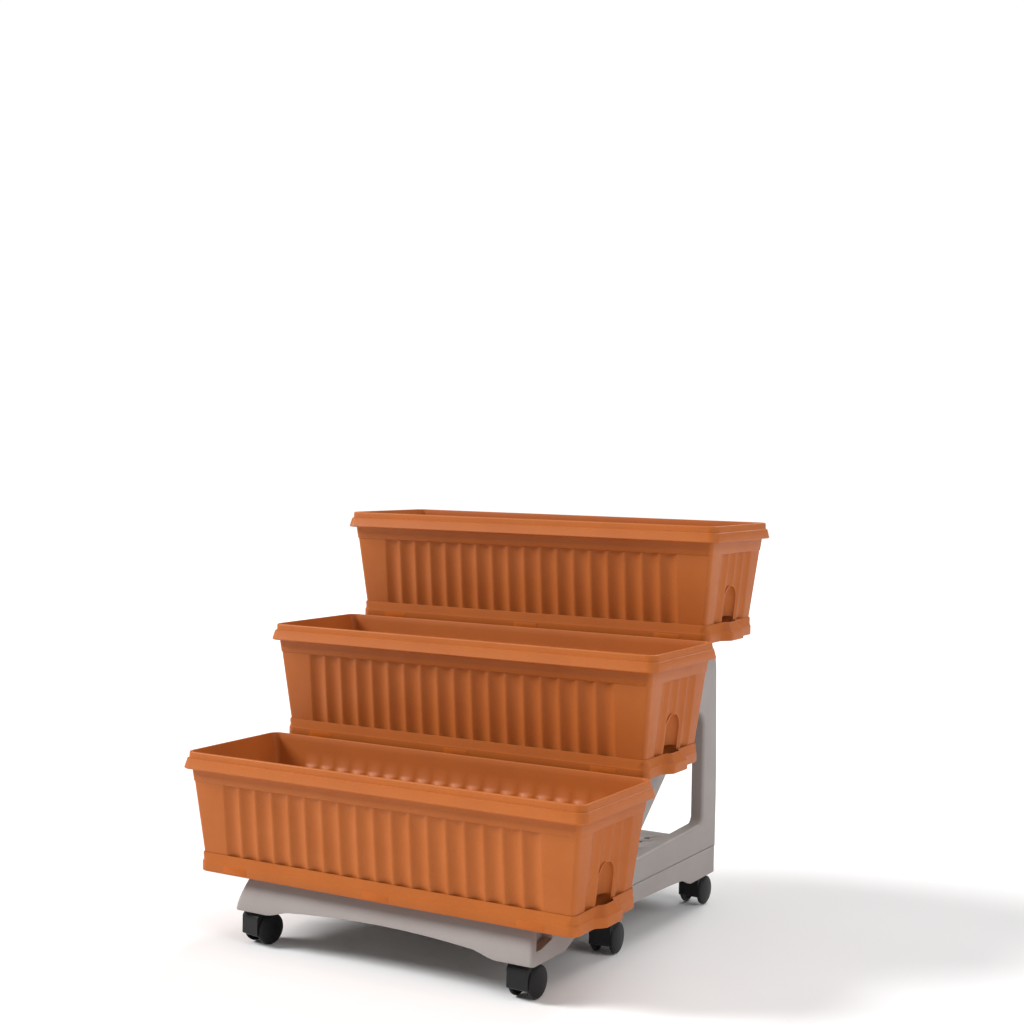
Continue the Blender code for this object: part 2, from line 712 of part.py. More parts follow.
def shelf_mesh(tier):
    """Flat shelf that lies on both treads, with a downturned rim between the panels."""
    front, rear = shelf_span(tier)
    under = tread_z(tier) + GAP
    top = under + SHELF_THICKNESS
    inner_x = PANEL_INNER_X - SHELF_SIDE_GAP
    slab = box((-BASE_HALF_WIDTH, front, under), (BASE_HALF_WIDTH, rear, top))
    rim_front, rim_rear = front + SHELF_RIM_SETBACK, rear - SHELF_RIM_SETBACK
    rim = box((-inner_x, rim_front, under - SHELF_RIM), (inner_x, rim_rear, under + 0.001))
    hollow = box((-inner_x + SHELF_WALL, rim_front + SHELF_WALL, under - SHELF_RIM - 0.01),
                 (inner_x - SHELF_WALL, rim_rear - SHELF_WALL, under))
    holes = []
    for sign in (-1, 1):
        for y in shelf_screw_ys(tier):
            holes.append(screw_body(sign * SCREW_X, y, top, 1, GAP))
    steps = [("UNION", rim), ("DIFFERENCE", hollow), ("DIFFERENCE", gather(holes))]
    return carve(f"shelf_{tier}", slab, steps)


def screw_body(x, y, z, direction, grow=0.0):
    """A countersunk screw whose head is at z; direction 1 points it down, -1 up."""
    head = SCREW_HEAD_RADIUS + grow
    shank = SCREW_RADIUS + grow
    lift = COUNTERSINK if grow else -SCREW_SINK
    profile = [(0, -SCREW_LENGTH - grow), (shank, -SCREW_LENGTH - grow), (shank, -SCREW_HEAD - grow)]
    profile += [(head, -SCREW_SINK)]
    profile += [(head, lift), (0, lift)] if grow else [(0, lift)]
    mesh = turned(profile, SCREW_SEGMENTS)
    if direction < 0:
        bmesh.ops.scale(mesh, vec=(1, 1, -1), verts=mesh.verts)
        bmesh.ops.reverse_faces(mesh, faces=mesh.faces)
    bmesh.ops.translate(mesh, vec=(x, y, z), verts=mesh.verts)
    return mesh


# --- casters -------------------------------------------------------------------
def hood_profile():
    """Side view of the hood about the axle as (y, z): round over the wheels, square in front."""
    points = []
    for i in range(6):
        angle = math.radians(HOOD_REAR_END * i / 5)
        points.append((HOOD_REAR_RADIUS * math.cos(angle), HOOD_REAR_RADIUS * math.sin(angle)))
    for i in range(3):
        angle = math.radians(HOOD_REAR_END + (90 - HOOD_REAR_END) * i / 2)
        points.append((HOOD_RADIUS * math.cos(angle), HOOD_RADIUS * math.sin(angle)))
    corner_y = -HOOD_FRONT + HOOD_CORNER
    for i in range(5):
        angle = math.radians(90 + 90 * i / 4)
        points.append((corner_y + HOOD_CORNER * math.cos(angle),
                       HOOD_RADIUS - HOOD_CORNER + HOOD_CORNER * math.sin(angle)))
    points.append((-HOOD_FRONT, HOOD_CUT))
    points.append((0.006, HOOD_CUT))
    return points


def hood_mesh():
    """Hood about its stem axis, with a pocket for each wheel."""
    def shifted(mesh):
        bmesh.ops.translate(mesh, vec=(0, TRAIL, WHEEL_RADIUS), verts=mesh.verts)
        return mesh

    body = shifted(prism_x(hood_profile(), -HOOD_HALF_WIDTH, HOOD_HALF_WIDTH))
    pockets = []
    for sign in (-1, 1):
        near, far = sign * HOOD_WEB, sign * (HOOD_HALF_WIDTH + 0.01)
        profile = [(0, min(near, far)), (HOOD_POCKET_RADIUS, min(near, far)),
                   (HOOD_POCKET_RADIUS, max(near, far)), (0, max(near, far))]
        pockets.append(shifted(turned(profile, 20, "X")))
    reach = HOOD_HALF_WIDTH + 0.01
    axle_bore = shifted(turned([(0, -reach), (AXLE_RADIUS + GAP, -reach), (AXLE_RADIUS + GAP, reach),
                                (0, reach)], 12, "X"))
    stem_bore = cylinder(STEM_RADIUS + GAP, STEM_LOW - GAP, 0.08, 12, (0, 0, 0))
    steps = [("DIFFERENCE", gather(pockets)), ("DIFFERENCE", axle_bore), ("DIFFERENCE", stem_bore)]
    return carve("hood", body, steps)


def wheel_mesh():
    """A wheel with a blind bore, domed on its outer side, along +X from the middle."""
    bore = AXLE_RADIUS + GAP
    profile = [
        (0, AXLE_HALF + GAP),
        (bore, AXLE_HALF + GAP),
        (bore, WHEEL_INNER),
        (WHEEL_HUB_RADIUS, WHEEL_INNER),
        (WHEEL_HUB_RADIUS, WHEEL_RIM_INNER),
        (WHEEL_RADIUS - 0.0008, WHEEL_RIM_INNER),
        (WHEEL_RADIUS, WHEEL_RIM_INNER + 0.0008),
        (WHEEL_RADIUS, WHEEL_RIM_OUTER),
        (WHEEL_RADIUS - 0.0030, WHEEL_OUTER - 0.0012),
        (0, WHEEL_OUTER),
    ]
    return to_mesh("wheel_mesh", turned(profile, WHEEL_SEGMENTS, "X"))


def stem_mesh():
    """Steel stem with a flange between the hood and the socket."""
    hood_top = WHEEL_RADIUS + HOOD_RADIUS
    profile = [
        (0, STEM_LOW),
        (STEM_RADIUS, STEM_LOW),
        (STEM_RADIUS, hood_top + GAP),
        (STEM_FLANGE_RADIUS, hood_top + GAP),
        (STEM_FLANGE_RADIUS, BOSS_LOW - GAP),
        (STEM_RADIUS, BOSS_LOW - GAP),
        (STEM_RADIUS, STEM_TOP - 0.002),
        (STEM_RADIUS - 0.0015, STEM_TOP),
        (0, STEM_TOP),
    ]
    return to_mesh("stem_mesh", turned(profile, 12))


def axle_mesh():
    """Steel axle through the hood into both wheels."""
    profile = [(0, -AXLE_HALF), (AXLE_RADIUS, -AXLE_HALF), (AXLE_RADIUS, AXLE_HALF), (0, AXLE_HALF)]
    return to_mesh("axle_mesh", turned(profile, 12, "X"))


# --- assembly ------------------------------------------------------------------
def build_stand(grey, steel):
    """Base, panels, shelves and their screws."""
    place("base_tray", base_mesh(), grey)
    panel = panel_mesh()
    place("side_panel_left", mirrored(panel), grey)
    place("side_panel_right", panel, grey)
    for tier, name in ((1, "middle_shelf"), (2, "top_shelf")):
        place(name, shelf_mesh(tier), grey)
    screw = to_mesh("screw_mesh", screw_body(0, 0, 0, 1))
    upward = to_mesh("screw_up_mesh", screw_body(0, 0, 0, -1))
    for sign, side in ((-1, "left"), (1, "right")):
        for y, where in zip(BASE_SCREW_YS, ("front", "rear")):
            place(f"base_screw_{side}_{where}", upward, steel,
                  (sign * SCREW_X, y, SEAM_Z - DECK_THICKNESS - SCREW_HEAD - 2 * GAP))
        for tier, shelf in ((1, "middle"), (2, "top")):
            top = tread_z(tier) + GAP + SHELF_THICKNESS
            for y, where in zip(shelf_screw_ys(tier), ("front", "rear")):
                place(f"{shelf}_shelf_screw_{side}_{where}", screw, steel, (sign * SCREW_X, y, top))


def build_casters(black, steel):
    """Six swivel casters, each with a stem, hood, axle and two wheels."""
    hood, wheel, stem, axle = hood_mesh(), wheel_mesh(), stem_mesh(), axle_mesh()
    for name, (sign, y, heading) in CASTERS.items():
        x = sign * CASTER_X
        place(f"caster_{name}_stem", stem, steel, (x, y, 0))
        place(f"caster_{name}_hood", hood, black, (x, y, 0), heading)
        turn = math.radians(heading)
        centre = (x - TRAIL * math.sin(turn), y + TRAIL * math.cos(turn), WHEEL_RADIUS)
        place(f"caster_{name}_axle", axle, steel, centre, heading)
        place(f"caster_{name}_wheel_a", wheel, black, centre, heading)
        place(f"caster_{name}_wheel_b", wheel, black, centre, heading + 180)


def build_troughs(terracotta):
    """Three troughs, each in its saucer."""
    trough, saucer = trough_mesh(), saucer_mesh()
    for tier, name in enumerate(TIER_NAMES):
        location = (0, (tier - 1) * TIER_STEP_DEPTH, LOWEST_SAUCER_Z + tier * TIER_STEP_HEIGHT)
        place(f"saucer_{name}", saucer, terracotta, location)
        place(f"trough_{name}", trough, terracotta, location)


def main():
    """Clear the scene and build every piece."""
    for item in list(bpy.data.objects):
        bpy.data.objects.remove(item)
    terracotta = plastic("terracotta plastic", (196, 115, 66), 0.48)
    grey = plastic("warm grey plastic", (160, 150, 145), 0.5)
    black = plastic("black nylon", (35, 33, 34), 0.45)
    steel = plastic("zinc plated steel", (170, 170, 168), 0.35, 1.0)
    build_stand(grey, steel)
    build_casters(black, steel)
    build_troughs(terracotta)


main()
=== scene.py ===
"""Looks of a three tier planter: fluted troughs in clip-on saucers, on a moulded stand with casters.

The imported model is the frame. Each operator makes one piece, or a group of like pieces,
in metres in the frame's own coordinates, and hands it to the body that it rides on.
"""

import json
import math

import bmesh
import bpy
import numpy as np
from bpy.props import FloatProperty, FloatVectorProperty, IntProperty, PointerProperty
from mathutils import Matrix, Vector

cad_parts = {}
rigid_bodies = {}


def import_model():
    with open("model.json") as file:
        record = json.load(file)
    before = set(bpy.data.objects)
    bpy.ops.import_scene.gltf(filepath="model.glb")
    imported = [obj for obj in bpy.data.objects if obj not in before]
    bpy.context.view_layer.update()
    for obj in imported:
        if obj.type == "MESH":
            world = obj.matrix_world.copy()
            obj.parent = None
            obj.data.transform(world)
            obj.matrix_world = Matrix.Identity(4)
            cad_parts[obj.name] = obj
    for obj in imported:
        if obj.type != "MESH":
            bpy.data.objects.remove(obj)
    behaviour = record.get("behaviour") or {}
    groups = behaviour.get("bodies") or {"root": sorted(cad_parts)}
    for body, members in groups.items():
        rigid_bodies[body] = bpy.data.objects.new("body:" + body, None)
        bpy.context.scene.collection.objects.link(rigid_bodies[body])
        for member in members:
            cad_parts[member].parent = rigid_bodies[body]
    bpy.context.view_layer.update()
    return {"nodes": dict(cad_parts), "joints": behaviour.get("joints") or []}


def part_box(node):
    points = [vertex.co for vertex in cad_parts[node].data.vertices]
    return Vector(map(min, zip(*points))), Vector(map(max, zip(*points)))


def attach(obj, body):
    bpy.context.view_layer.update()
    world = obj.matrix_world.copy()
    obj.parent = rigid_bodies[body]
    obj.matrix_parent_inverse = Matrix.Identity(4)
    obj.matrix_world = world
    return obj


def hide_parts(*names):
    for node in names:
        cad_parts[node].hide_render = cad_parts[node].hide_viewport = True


bl_info = {
    "name": "Three Tier Planter",
    "version": (1, 0, 0),
    "blender": (4, 5, 0),
    "location": "View3D > Sidebar > Planter",
    "description": "Builds the detailed pieces of a three tier planter on its packed frame",
    "category": "Object",
}

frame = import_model()

TIERS = ("lower", "middle", "upper")
CORNERS = ("front_right", "front_left", "middle_right", "middle_left", "rear_right", "rear_left")
BASE_LOW, BASE_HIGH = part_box("base_tray")
PANEL_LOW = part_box("side_panel_right")[0]
TROUGH_LOW, TROUGH_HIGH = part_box("trough_lower")
SAUCER_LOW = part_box("saucer_lower")[0]

# Trough, measured up from the underside of its saucer
LIP_HALF = (TROUGH_HIGH.x, (TROUGH_HIGH.y - TROUGH_LOW.y) / 2)
TROUGH_TOP = TROUGH_HIGH.z - SAUCER_LOW.z
TROUGH_FLOOR_UNDER = 0.0150
TROUGH_FLOOR_TOP = 0.0185
BODY_TOP_HALF = (0.3910, 0.1226)
BODY_LOW_HALF = (0.3750, 0.1066)
WALL_LOW_Z = 0.0335         # height at which the wall has its lower size
WALL_CORNER = 0.008         # corner radius of the wall
RIM_CORNER = 0.018          # corner radius of the rim
SAUCER_CORNER = 0.017       # corner radius of the saucer's band
BAND_STEP = 0.0010          # the wall steps in by this much under the plain band
CORNER_STEPS = 8            # facets round a corner
FLUTE_SAMPLES = 14          # columns across one flute
FOOT_XS, FOOT_Y, FOOT_RADIUS = (-0.30, 0.0, 0.30), 0.065, 0.010
DRAIN_XS, DRAIN_Y, DRAIN_RADIUS = (-0.23, -0.08, 0.08, 0.23), 0.045, 0.006
CLIP_XS = (-0.298, 0.002, 0.298)

# Stand
LEAN_POWER = 1.5
FRONT_ARCH = (0.235, 0.180, 0.0110, 0.0080)            # outer x, inner x, step, crown
SIDE_ARCH = (-0.2505, 0.2600, 0.0450, 0.0115, 0.0085)  # front, rear, run, step, crown
SKIRT_CORNER = 0.014
FRONT_CORNER = 0.008
SIDE_LEAN = 0.55                # the ends of the front lean in by this share of the front's lean
SKIRT_WALL = 0.0040
DECK_THICKNESS = 0.0040
PANEL_FOOT_Z = PANEL_LOW.z - 0.0003
CAP_END_Y = -0.3445             # the front roll stops here along each side
TOE_Y = PANEL_LOW.y - 0.0005    # the panels' toes start here
LEDGE_LINE = (-0.335, 0.0845, -0.283, 0.0964)          # y and z at both ends of the side ledge
LEDGE_INNER_X = 0.284
SOCKET_WEB_Z = 0.0760           # lower edge of the webs at the caster sockets
RIB_Z = 0.1085                  # lower edge of the ribs under the deck
RIB_XS = (-0.230, -0.115, 0.0, 0.115, 0.230)
RIB_YS = (-0.200, -0.050, 0.100, 0.250)
HOLE_XS, HOLE_YS = (-0.180, 0.180), (0.2815, 0.3165, 0.1750)
SHELF_RIB_XS = (-0.18, -0.09, 0.0, 0.09, 0.18)
TREAD_TOPS = (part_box("middle_shelf")[1].z - 0.0039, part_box("top_shelf")[1].z - 0.0039)

# Casters and stage
WHEEL_CLEARANCE = 0.00075       # round wheels are this much smaller than the frame's many sided ones
FLOOR_RADIUS = 14
SENSOR_WIDTH = 36.0


# Mesh helpers
def smooth_step(value):
    """Ease from 0 to 1."""
    value = min(1.0, max(0.0, value))
    return value * value * (3 - 2 * value)


def arc(centre, radius, start, steps):
    """Points on a quarter circle that starts at an angle in degrees."""
    points = []
    for i in range(steps + 1):
        angle = math.radians(start + 90 * i / steps)
        points.append((centre[0] + radius * math.cos(angle), centre[1] + radius * math.sin(angle)))
    return points


def loft(rings, capped=True):
    """A body through rings with the same number of points."""
    mesh = bmesh.new()
    loops = [[mesh.verts.new(point) for point in ring] for ring in rings]
    count = len(rings[0])
    for lower, upper in zip(loops, loops[1:]):
        for i in range(count):
            j = (i + 1) % count
            mesh.faces.new((lower[i], lower[j], upper[j], upper[i]))
    if capped:
        mesh.faces.new(list(reversed(loops[0])))
        mesh.faces.new(loops[-1])
    bmesh.ops.recalc_face_normals(mesh, faces=mesh.faces)
    return mesh


def stacked(levels, capped=True):
    """A body through (z, outline) levels."""
    return loft([[(x, y, z) for x, y in outline] for z, outline in levels], capped)


def turned(profile, segments, axis="Z"):
    """A solid of revolution from (radius, height) points."""
    mesh = bmesh.new()
    previous = None
    for radius, height in profile:
        if radius == 0:
            ring = [mesh.verts.new((0, 0, height))]
        else:
            ring = []
            for i in range(segments):
                angle = 2 * math.pi * i / segments
                ring.append(mesh.verts.new((radius * math.cos(angle), radius * math.sin(angle), height)))
        if previous:
            for i in range(segments):
                j = (i + 1) % segments
                corners = [previous[i % len(previous)], previous[j % len(previous)],
                           ring[j % len(ring)], ring[i % len(ring)]]
                mesh.faces.new(list(dict.fromkeys(corners)))
        previous = ring
    bmesh.ops.recalc_face_normals(mesh, faces=mesh.faces)
    if axis == "X":
        turn = Matrix.Rotation(math.radians(90), 4, "Y")
        bmesh.ops.transform(mesh, matrix=turn, verts=mesh.verts)
    return mesh


def moved(mesh, offset):
    """The same mesh after a move."""
    bmesh.ops.translate(mesh, vec=offset, verts=mesh.verts)
    return mesh


def block(low, high):
    """A plain box used as a cutter, a rib or a web."""
    outline = [(low[0], low[1]), (high[0], low[1]), (high[0], high[1]), (low[0], high[1])]
    return stacked([(low[2], outline), (high[2], outline)])


def drum(radius, low, high, segments=24, axis="Z"):
    """A plain cylinder used as a cutter."""
    return turned([(0, low), (radius, low), (radius, high), (0, high)], segments, axis)


def post(radius, low, high, centre):
    """An upright cylinder in place, used as a cutter or a boss."""
    return moved(drum(radius, low, high), (*centre, 0))


def gathered(meshes):
    """Several bodies in one mesh."""
    result = bmesh.new()
    for mesh in meshes:
        copies = {}
        for vertex in mesh.verts:
            copies[vertex] = result.verts.new(vertex.co)
        for face in mesh.faces:
            result.faces.new([copies[vertex] for vertex in face.verts])
        mesh.free()
    return result


def datablock(name, mesh):
    """A mesh datablock from a bmesh, which is freed."""
    data = bpy.data.meshes.new(name)
    mesh.to_mesh(data)
    mesh.free()
    return data


def carved(mesh, steps):
    """The mesh after Boolean (operation, cutter) steps in order."""
    target = bpy.data.objects.new("carving", datablock("carving", mesh))
    bpy.context.scene.collection.objects.link(target)
    helpers = [target]
    for operation, cutter_mesh in steps:
        cutter = bpy.data.objects.new("cutter", datablock("cutter", cutter_mesh))
        bpy.context.scene.collection.objects.link(cutter)
        modifier = target.modifiers.new(operation.lower(), "BOOLEAN")
        modifier.operation = operation
        modifier.object = cutter
        helpers.append(cutter)
    graph = bpy.context.evaluated_depsgraph_get()
    result = bmesh.new()
    result.from_object(target, graph)
    for helper in helpers:
        data = helper.data
        bpy.data.objects.remove(helper)
        bpy.data.meshes.remove(data)
    return result


def mirrored(mesh):
    """A copy mirrored in X, with its faces still pointing out."""
    copy = mesh.copy()
    bmesh.ops.scale(copy, vec=(-1, 1, 1), verts=copy.verts)
    bmesh.ops.reverse_faces(copy, faces=copy.faces)
    return copy


def shaded(data, material, angle=32.0):
    """Give a mesh its material and smooth shading with crisp edges."""
    data.materials.clear()
    data.materials.append(material)
    data.shade_smooth()
    data.set_sharp_from_angle(angle=math.radians(angle))
    return data


def piece(name, data, body, node=None, location=(0, 0, 0), heading=0.0):
    """One named piece in place, riding on its body and standing for its CAD node."""
    made = bpy.data.objects.new(name, data)
    bpy.context.scene.collection.objects.link(made)
    made.location = location
    made.rotation_euler.z = heading
    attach(made, body)
    if node:
        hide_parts(node)
    return made


# Outlines
def rounded_plan(half, radius, long_places, end_places, steps=CORNER_STEPS):
    """Round cornered rectangle, anticlockwise, with fixed columns along its sides."""
    x, y = half[0] - radius, half[1] - radius
    points = [(u, -half[1]) for u in (-x, *long_places, x)]
    points += arc((x, -y), radius, -90, steps)[1:-1]
    points += [(half[0], u) for u in (-y, *end_places, y)]
    points += arc((x, y), radius, 0, steps)[1:-1]
    points += [(-u, half[1]) for u in (-x, *long_places, x)]
    points += arc((-x, y), radius, 90, steps)[1:-1]
    points += [(-half[0], -u) for u in (-y, *end_places, y)]
    points += arc((-x, -y), radius, 180, steps)[1:-1]
    return np.array(points)


def plan_values(long_values, end_values, steps=CORNER_STEPS):
    """One value for each column of a rounded plan, with 0 round its corners."""
    corner = [0.0] * (steps - 1)
    long_side = [0.0, *long_values, 0.0]
    end_side = [0.0, *end_values, 0.0]
    return np.array((long_side + corner + end_side + corner) * 2)


def plan_inward(long_count, end_count, steps=CORNER_STEPS):
    """Inward direction for each column of a rounded plan; none round its corners."""
    corner = [(0.0, 0.0)] * (steps - 1)
    directions = []
    for count, inward in ((long_count, (0, 1)), (end_count, (-1, 0)), (long_count, (0, -1)),
                          (end_count, (1, 0))):
        directions += [inward] * (count + 2) + corner
    return np.array(directions)


def offset_outline(points, distance):
    """A closed anticlockwise outline moved inwards by one distance, or one for each point."""
    count = len(points)
    distances = distance if isinstance(distance, list) else [distance] * count
    result = []
    for i in range(count):
        before, here, after = (Vector(points[k % count]) for k in (i - 1, i, i + 1))
        first = (here - before).normalized()
        second = (after - here).normalized()
        normal_first = Vector((-first.y, first.x))
        normal_second = Vector((-second.y, second.x))
        middle = (normal_first + normal_second).normalized()
        result.append(tuple(here + middle * distances[i] / max(0.4, middle.dot(normal_first))))
    return result


def fillet(corners, steps=8):
    """A closed outline whose ((y, z), radius) corners are rounded."""
    result = []
    count = len(corners)
    for i in range(count):
        before, here, after = (Vector(corners[k % count][0]) for k in (i - 1, i, i + 1))
        radius = corners[i][1]
        if radius == 0:
            result.append(tuple(here))
            continue
        back = (before - here).normalized()
        ahead = (after - here).normalized()
        half_angle = back.angle(ahead) / 2
        reach = radius / math.tan(half_angle)
        start, end = here + back * reach, here + ahead * reach
        centre = here + (back + ahead).normalized() * radius / math.sin(half_angle)
        first, last = start - centre, end - centre
        sweep = first.angle_signed(last)
        for k in range(steps + 1):
            result.append(tuple(centre + Matrix.Rotation(-sweep * k / steps, 2) @ first))
    return result


def split_outline(points, spacing):
    """The outline with extra points so that no stretch is longer than the spacing."""
    result = []
    count = len(points)
    for i in range(count):
        here, after = Vector(points[i]), Vector(points[(i + 1) % count])
        parts = max(1, math.ceil((after - here).length / spacing))
        for k in range(parts):
            result.append(tuple(here.lerp(after, k / parts)))
    return result


# Finishes
def node(tree, kind, **values):
    """A shader node with some of its properties or inputs set."""
    made = tree.nodes.new(kind)
    for name, value in values.items():
        if hasattr(made, name):
            setattr(made, name, value)
        else:
            made.inputs[name.replace("_", " ").title()].default_value = value
    return made


def noise(tree, coordinates, scale, detail):
    """A noise texture on the object's own coordinates."""
    texture = node(tree, "ShaderNodeTexNoise", scale=scale, detail=detail, roughness=0.6)
    tree.links.new(coordinates, texture.inputs["Vector"])
    return texture.outputs["Fac"]


def spread(tree, value, low, high, to_low, to_high):
    """A value remapped from one range to another and kept inside it."""
    remap = tree.nodes.new("ShaderNodeMapRange")
    for name, number in (("From Min", low), ("From Max", high), ("To Min", to_low), ("To Max", to_high)):
        remap.inputs[name].default_value = number
    tree.links.new(value, remap.inputs["Value"])
    return remap.outputs["Result"]


def mixed(tree, factor, first, second):
    """Two colours mixed by a factor; each is a colour or a socket."""
    mix = tree.nodes.new("ShaderNodeMix")
    mix.data_type = "RGBA"
    tree.links.new(factor, mix.inputs["Factor"])
    for name, colour in (("A", first), ("B", second)):
        socket = [s for s in mix.inputs if s.name == name and s.type == "RGBA"][0]
        if isinstance(colour, bpy.types.NodeSocket):
            tree.links.new(colour, socket)
        else:
            socket.default_value = (*colour[:3], 1.0)
    return [s for s in mix.outputs if s.type == "RGBA"][0]


def times(tree, first, second):
    """The product of two values."""
    product = tree.nodes.new("ShaderNodeMath")
    product.operation = "MULTIPLY"
    for socket, value in zip(product.inputs, (first, second)):
        if isinstance(value, bpy.types.NodeSocket):
            tree.links.new(value, socket)
        else:
            socket.default_value = value
    return product.outputs["Value"]


DUST_COLOUR = (0.6, 0.58, 0.54)


def started(name):
    """A new material with its node tree, its shader and the object's own coordinates."""
    material = bpy.data.materials.new(name)
    material.use_nodes = True
    tree = material.node_tree
    place = tree.nodes.new("ShaderNodeTexCoord").outputs["Object"]
    return material, tree, tree.nodes["Principled BSDF"], place


def moulded(name, colour, shade, rough, grain_size, grain_depth, dust):
    """Moulded plastic: cloudy pigment, fine specks, rubbed edges, dust on top, grain and sink marks."""
    material, tree, shader, place = started(name)
    surface = tree.nodes.new("ShaderNodeNewGeometry")
    clouds = noise(tree, place, 9.0, 5.0)
    specks = noise(tree, place, 420.0, 2.0)
    grain = noise(tree, place, grain_size, 3.0)
    sink = noise(tree, place, 26.0, 2.0)

    pigment = mixed(tree, spread(tree, clouds, 0.36, 0.66, 0.0, 1.0), colour, shade)
    bright = tuple(min(1.0, channel * 1.10 + 0.008) for channel in colour)
    speckled = mixed(tree, spread(tree, specks, 0.52, 0.72, 0.0, 0.35), pigment, bright)
    rubbed = spread(tree, surface.outputs["Pointiness"], 0.53, 0.60, 0.0, 0.45)
    worn = mixed(tree, rubbed, speckled, tuple(min(1.0, channel * 1.22 + 0.012) for channel in colour))
    if dust:
        upward = tree.nodes.new("ShaderNodeSeparateXYZ")
        tree.links.new(surface.outputs["Normal"], upward.inputs["Vector"])
        facing = spread(tree, upward.outputs["Z"], 0.55, 1.0, 0.0, dust)
        patchy = times(tree, facing, spread(tree, sink, 0.3, 0.7, 0.4, 1.0))
        worn = mixed(tree, patchy, worn, DUST_COLOUR)
    tree.links.new(worn, shader.inputs["Base Color"])
    tree.links.new(spread(tree, clouds, 0.3, 0.7, rough - 0.05, rough + 0.07), shader.inputs["Roughness"])

    waves = node(tree, "ShaderNodeBump", strength=0.10, distance=0.0006)
    tree.links.new(sink, waves.inputs["Height"])
    fine = node(tree, "ShaderNodeBump", strength=0.35, distance=grain_depth)
    tree.links.new(grain, fine.inputs["Height"])
    tree.links.new(waves.outputs["Normal"], fine.inputs["Normal"])
    tree.links.new(fine.outputs["Normal"], shader.inputs["Normal"])
    shader.inputs["Specular IOR Level"].default_value = 0.20
    return material


def plated(name, colour):
    """Zinc plated steel: bright, slightly streaked, with a bluish and a yellowish cast."""
    material, tree, shader, place = started(name)
    cast = noise(tree, place, 120.0, 3.0)
    streaks = noise(tree, place, 900.0, 2.0)
    warm = (colour[0] * 1.04, colour[1], colour[2] * 0.88)
    cool = (colour[0] * 0.86, colour[1] * 0.92, colour[2])
    tree.links.new(mixed(tree, spread(tree, cast, 0.35, 0.65, 0.0, 1.0), warm, cool),
                   shader.inputs["Base Color"])
    tree.links.new(spread(tree, streaks, 0.3, 0.7, 0.24, 0.44), shader.inputs["Roughness"])
    bump = node(tree, "ShaderNodeBump", strength=0.2, distance=0.00003)
    tree.links.new(streaks, bump.inputs["Height"])
    tree.links.new(bump.outputs["Normal"], shader.inputs["Normal"])
    shader.inputs["Metallic"].default_value = 1.0
    return material


def finish(name):
    """The shared material with that name, made on first use."""
    found = bpy.data.materials.get(name)
    if found:
        return found
    paint = bpy.context.scene.planter_finish
    if name == "zinc":
        return plated(name, paint.zinc)
    satin = paint.trough_roughness
    recipes = {"terracotta_plastic": (paint.terracotta, paint.terracotta_shade, satin, 0.0),
               "saucer_plastic": (paint.saucer, paint.saucer_shade, satin, 0.0),
               "clip_plastic": (paint.clip, paint.saucer_shade, satin - 0.08, 0.0),
               "grey_plastic": (paint.stand, paint.stand_shade, paint.stand_roughness, 0.35),
               "black_nylon": (paint.nylon, paint.nylon_shade, paint.nylon_roughness, 0.12)}
    main_colour, shade, rough, dust = recipes[name]
    return moulded(name, main_colour, shade, rough, paint.grain_size, paint.grain_depth, dust)


# Sizes and colours that a user would change
def length(label, text, default):
    """A length property in metres."""
    return FloatProperty(name=label, description=text, default=default, min=0.0, unit="LENGTH")


def factor(label, text, default):
    """A share from 0 to 1."""
    return FloatProperty(name=label, description=text, default=default, min=0.0, max=1.0, subtype="FACTOR")


def power(label, text, default):
    """The strength of a light."""
    return FloatProperty(name=label, description=text, default=default, min=0.0)


def turn(label, text, degrees):
    """An angle property, given in degrees."""
    return FloatProperty(name=label, description=text, default=math.radians(degrees), unit="ROTATION",
                         subtype="ANGLE")


def colour(label, text, default):
    """A linear colour property."""
    return FloatVectorProperty(name=label, description=text, default=default, size=3,
                               min=0.0, max=1.0, subtype="COLOR")


class TroughSizes(bpy.types.PropertyGroup):
    """Sizes of one trough."""

    flutes_long: IntProperty(name="Flutes Long", description="Flutes along each long side",
                             default=18, min=1)
    flutes_end: IntProperty(name="Flutes End", description="Flutes across each end", default=4, min=1)
    pitch_long: length("Pitch Long", "Distance between flutes along the long sides", 0.0356)
    pitch_end: length("Pitch End", "Distance between flutes across the ends", 0.0358)
    flute_depth: length("Flute Depth", "Depth of a flute at its middle", 0.0052)
    ridge: length("Ridge", "Width of the round ridge between two flutes", 0.0056)
    rim_height: length("Rim Height", "Height of the whole rim", 0.0300)
    band_height: length("Band Height", "Height of the plain band under the rim", 0.0230)
    upper_band: length("Upper Band", "Height of the rim's upper band", 0.0120)
    wall: length("Wall", "Thickness of the moulded wall", 0.0030)
    niche_width: length("Niche Width", "Width of the filling niche in each end", 0.0540)
    niche_height: length("Niche Height", "Height of the crown of the niche", 0.0990)
    niche_depth: length("Niche Depth", "Depth of the niche at its middle", 0.0150)
    chute_depth: length("Chute Depth", "How much deeper the chute at the niche's foot is", 0.0140)


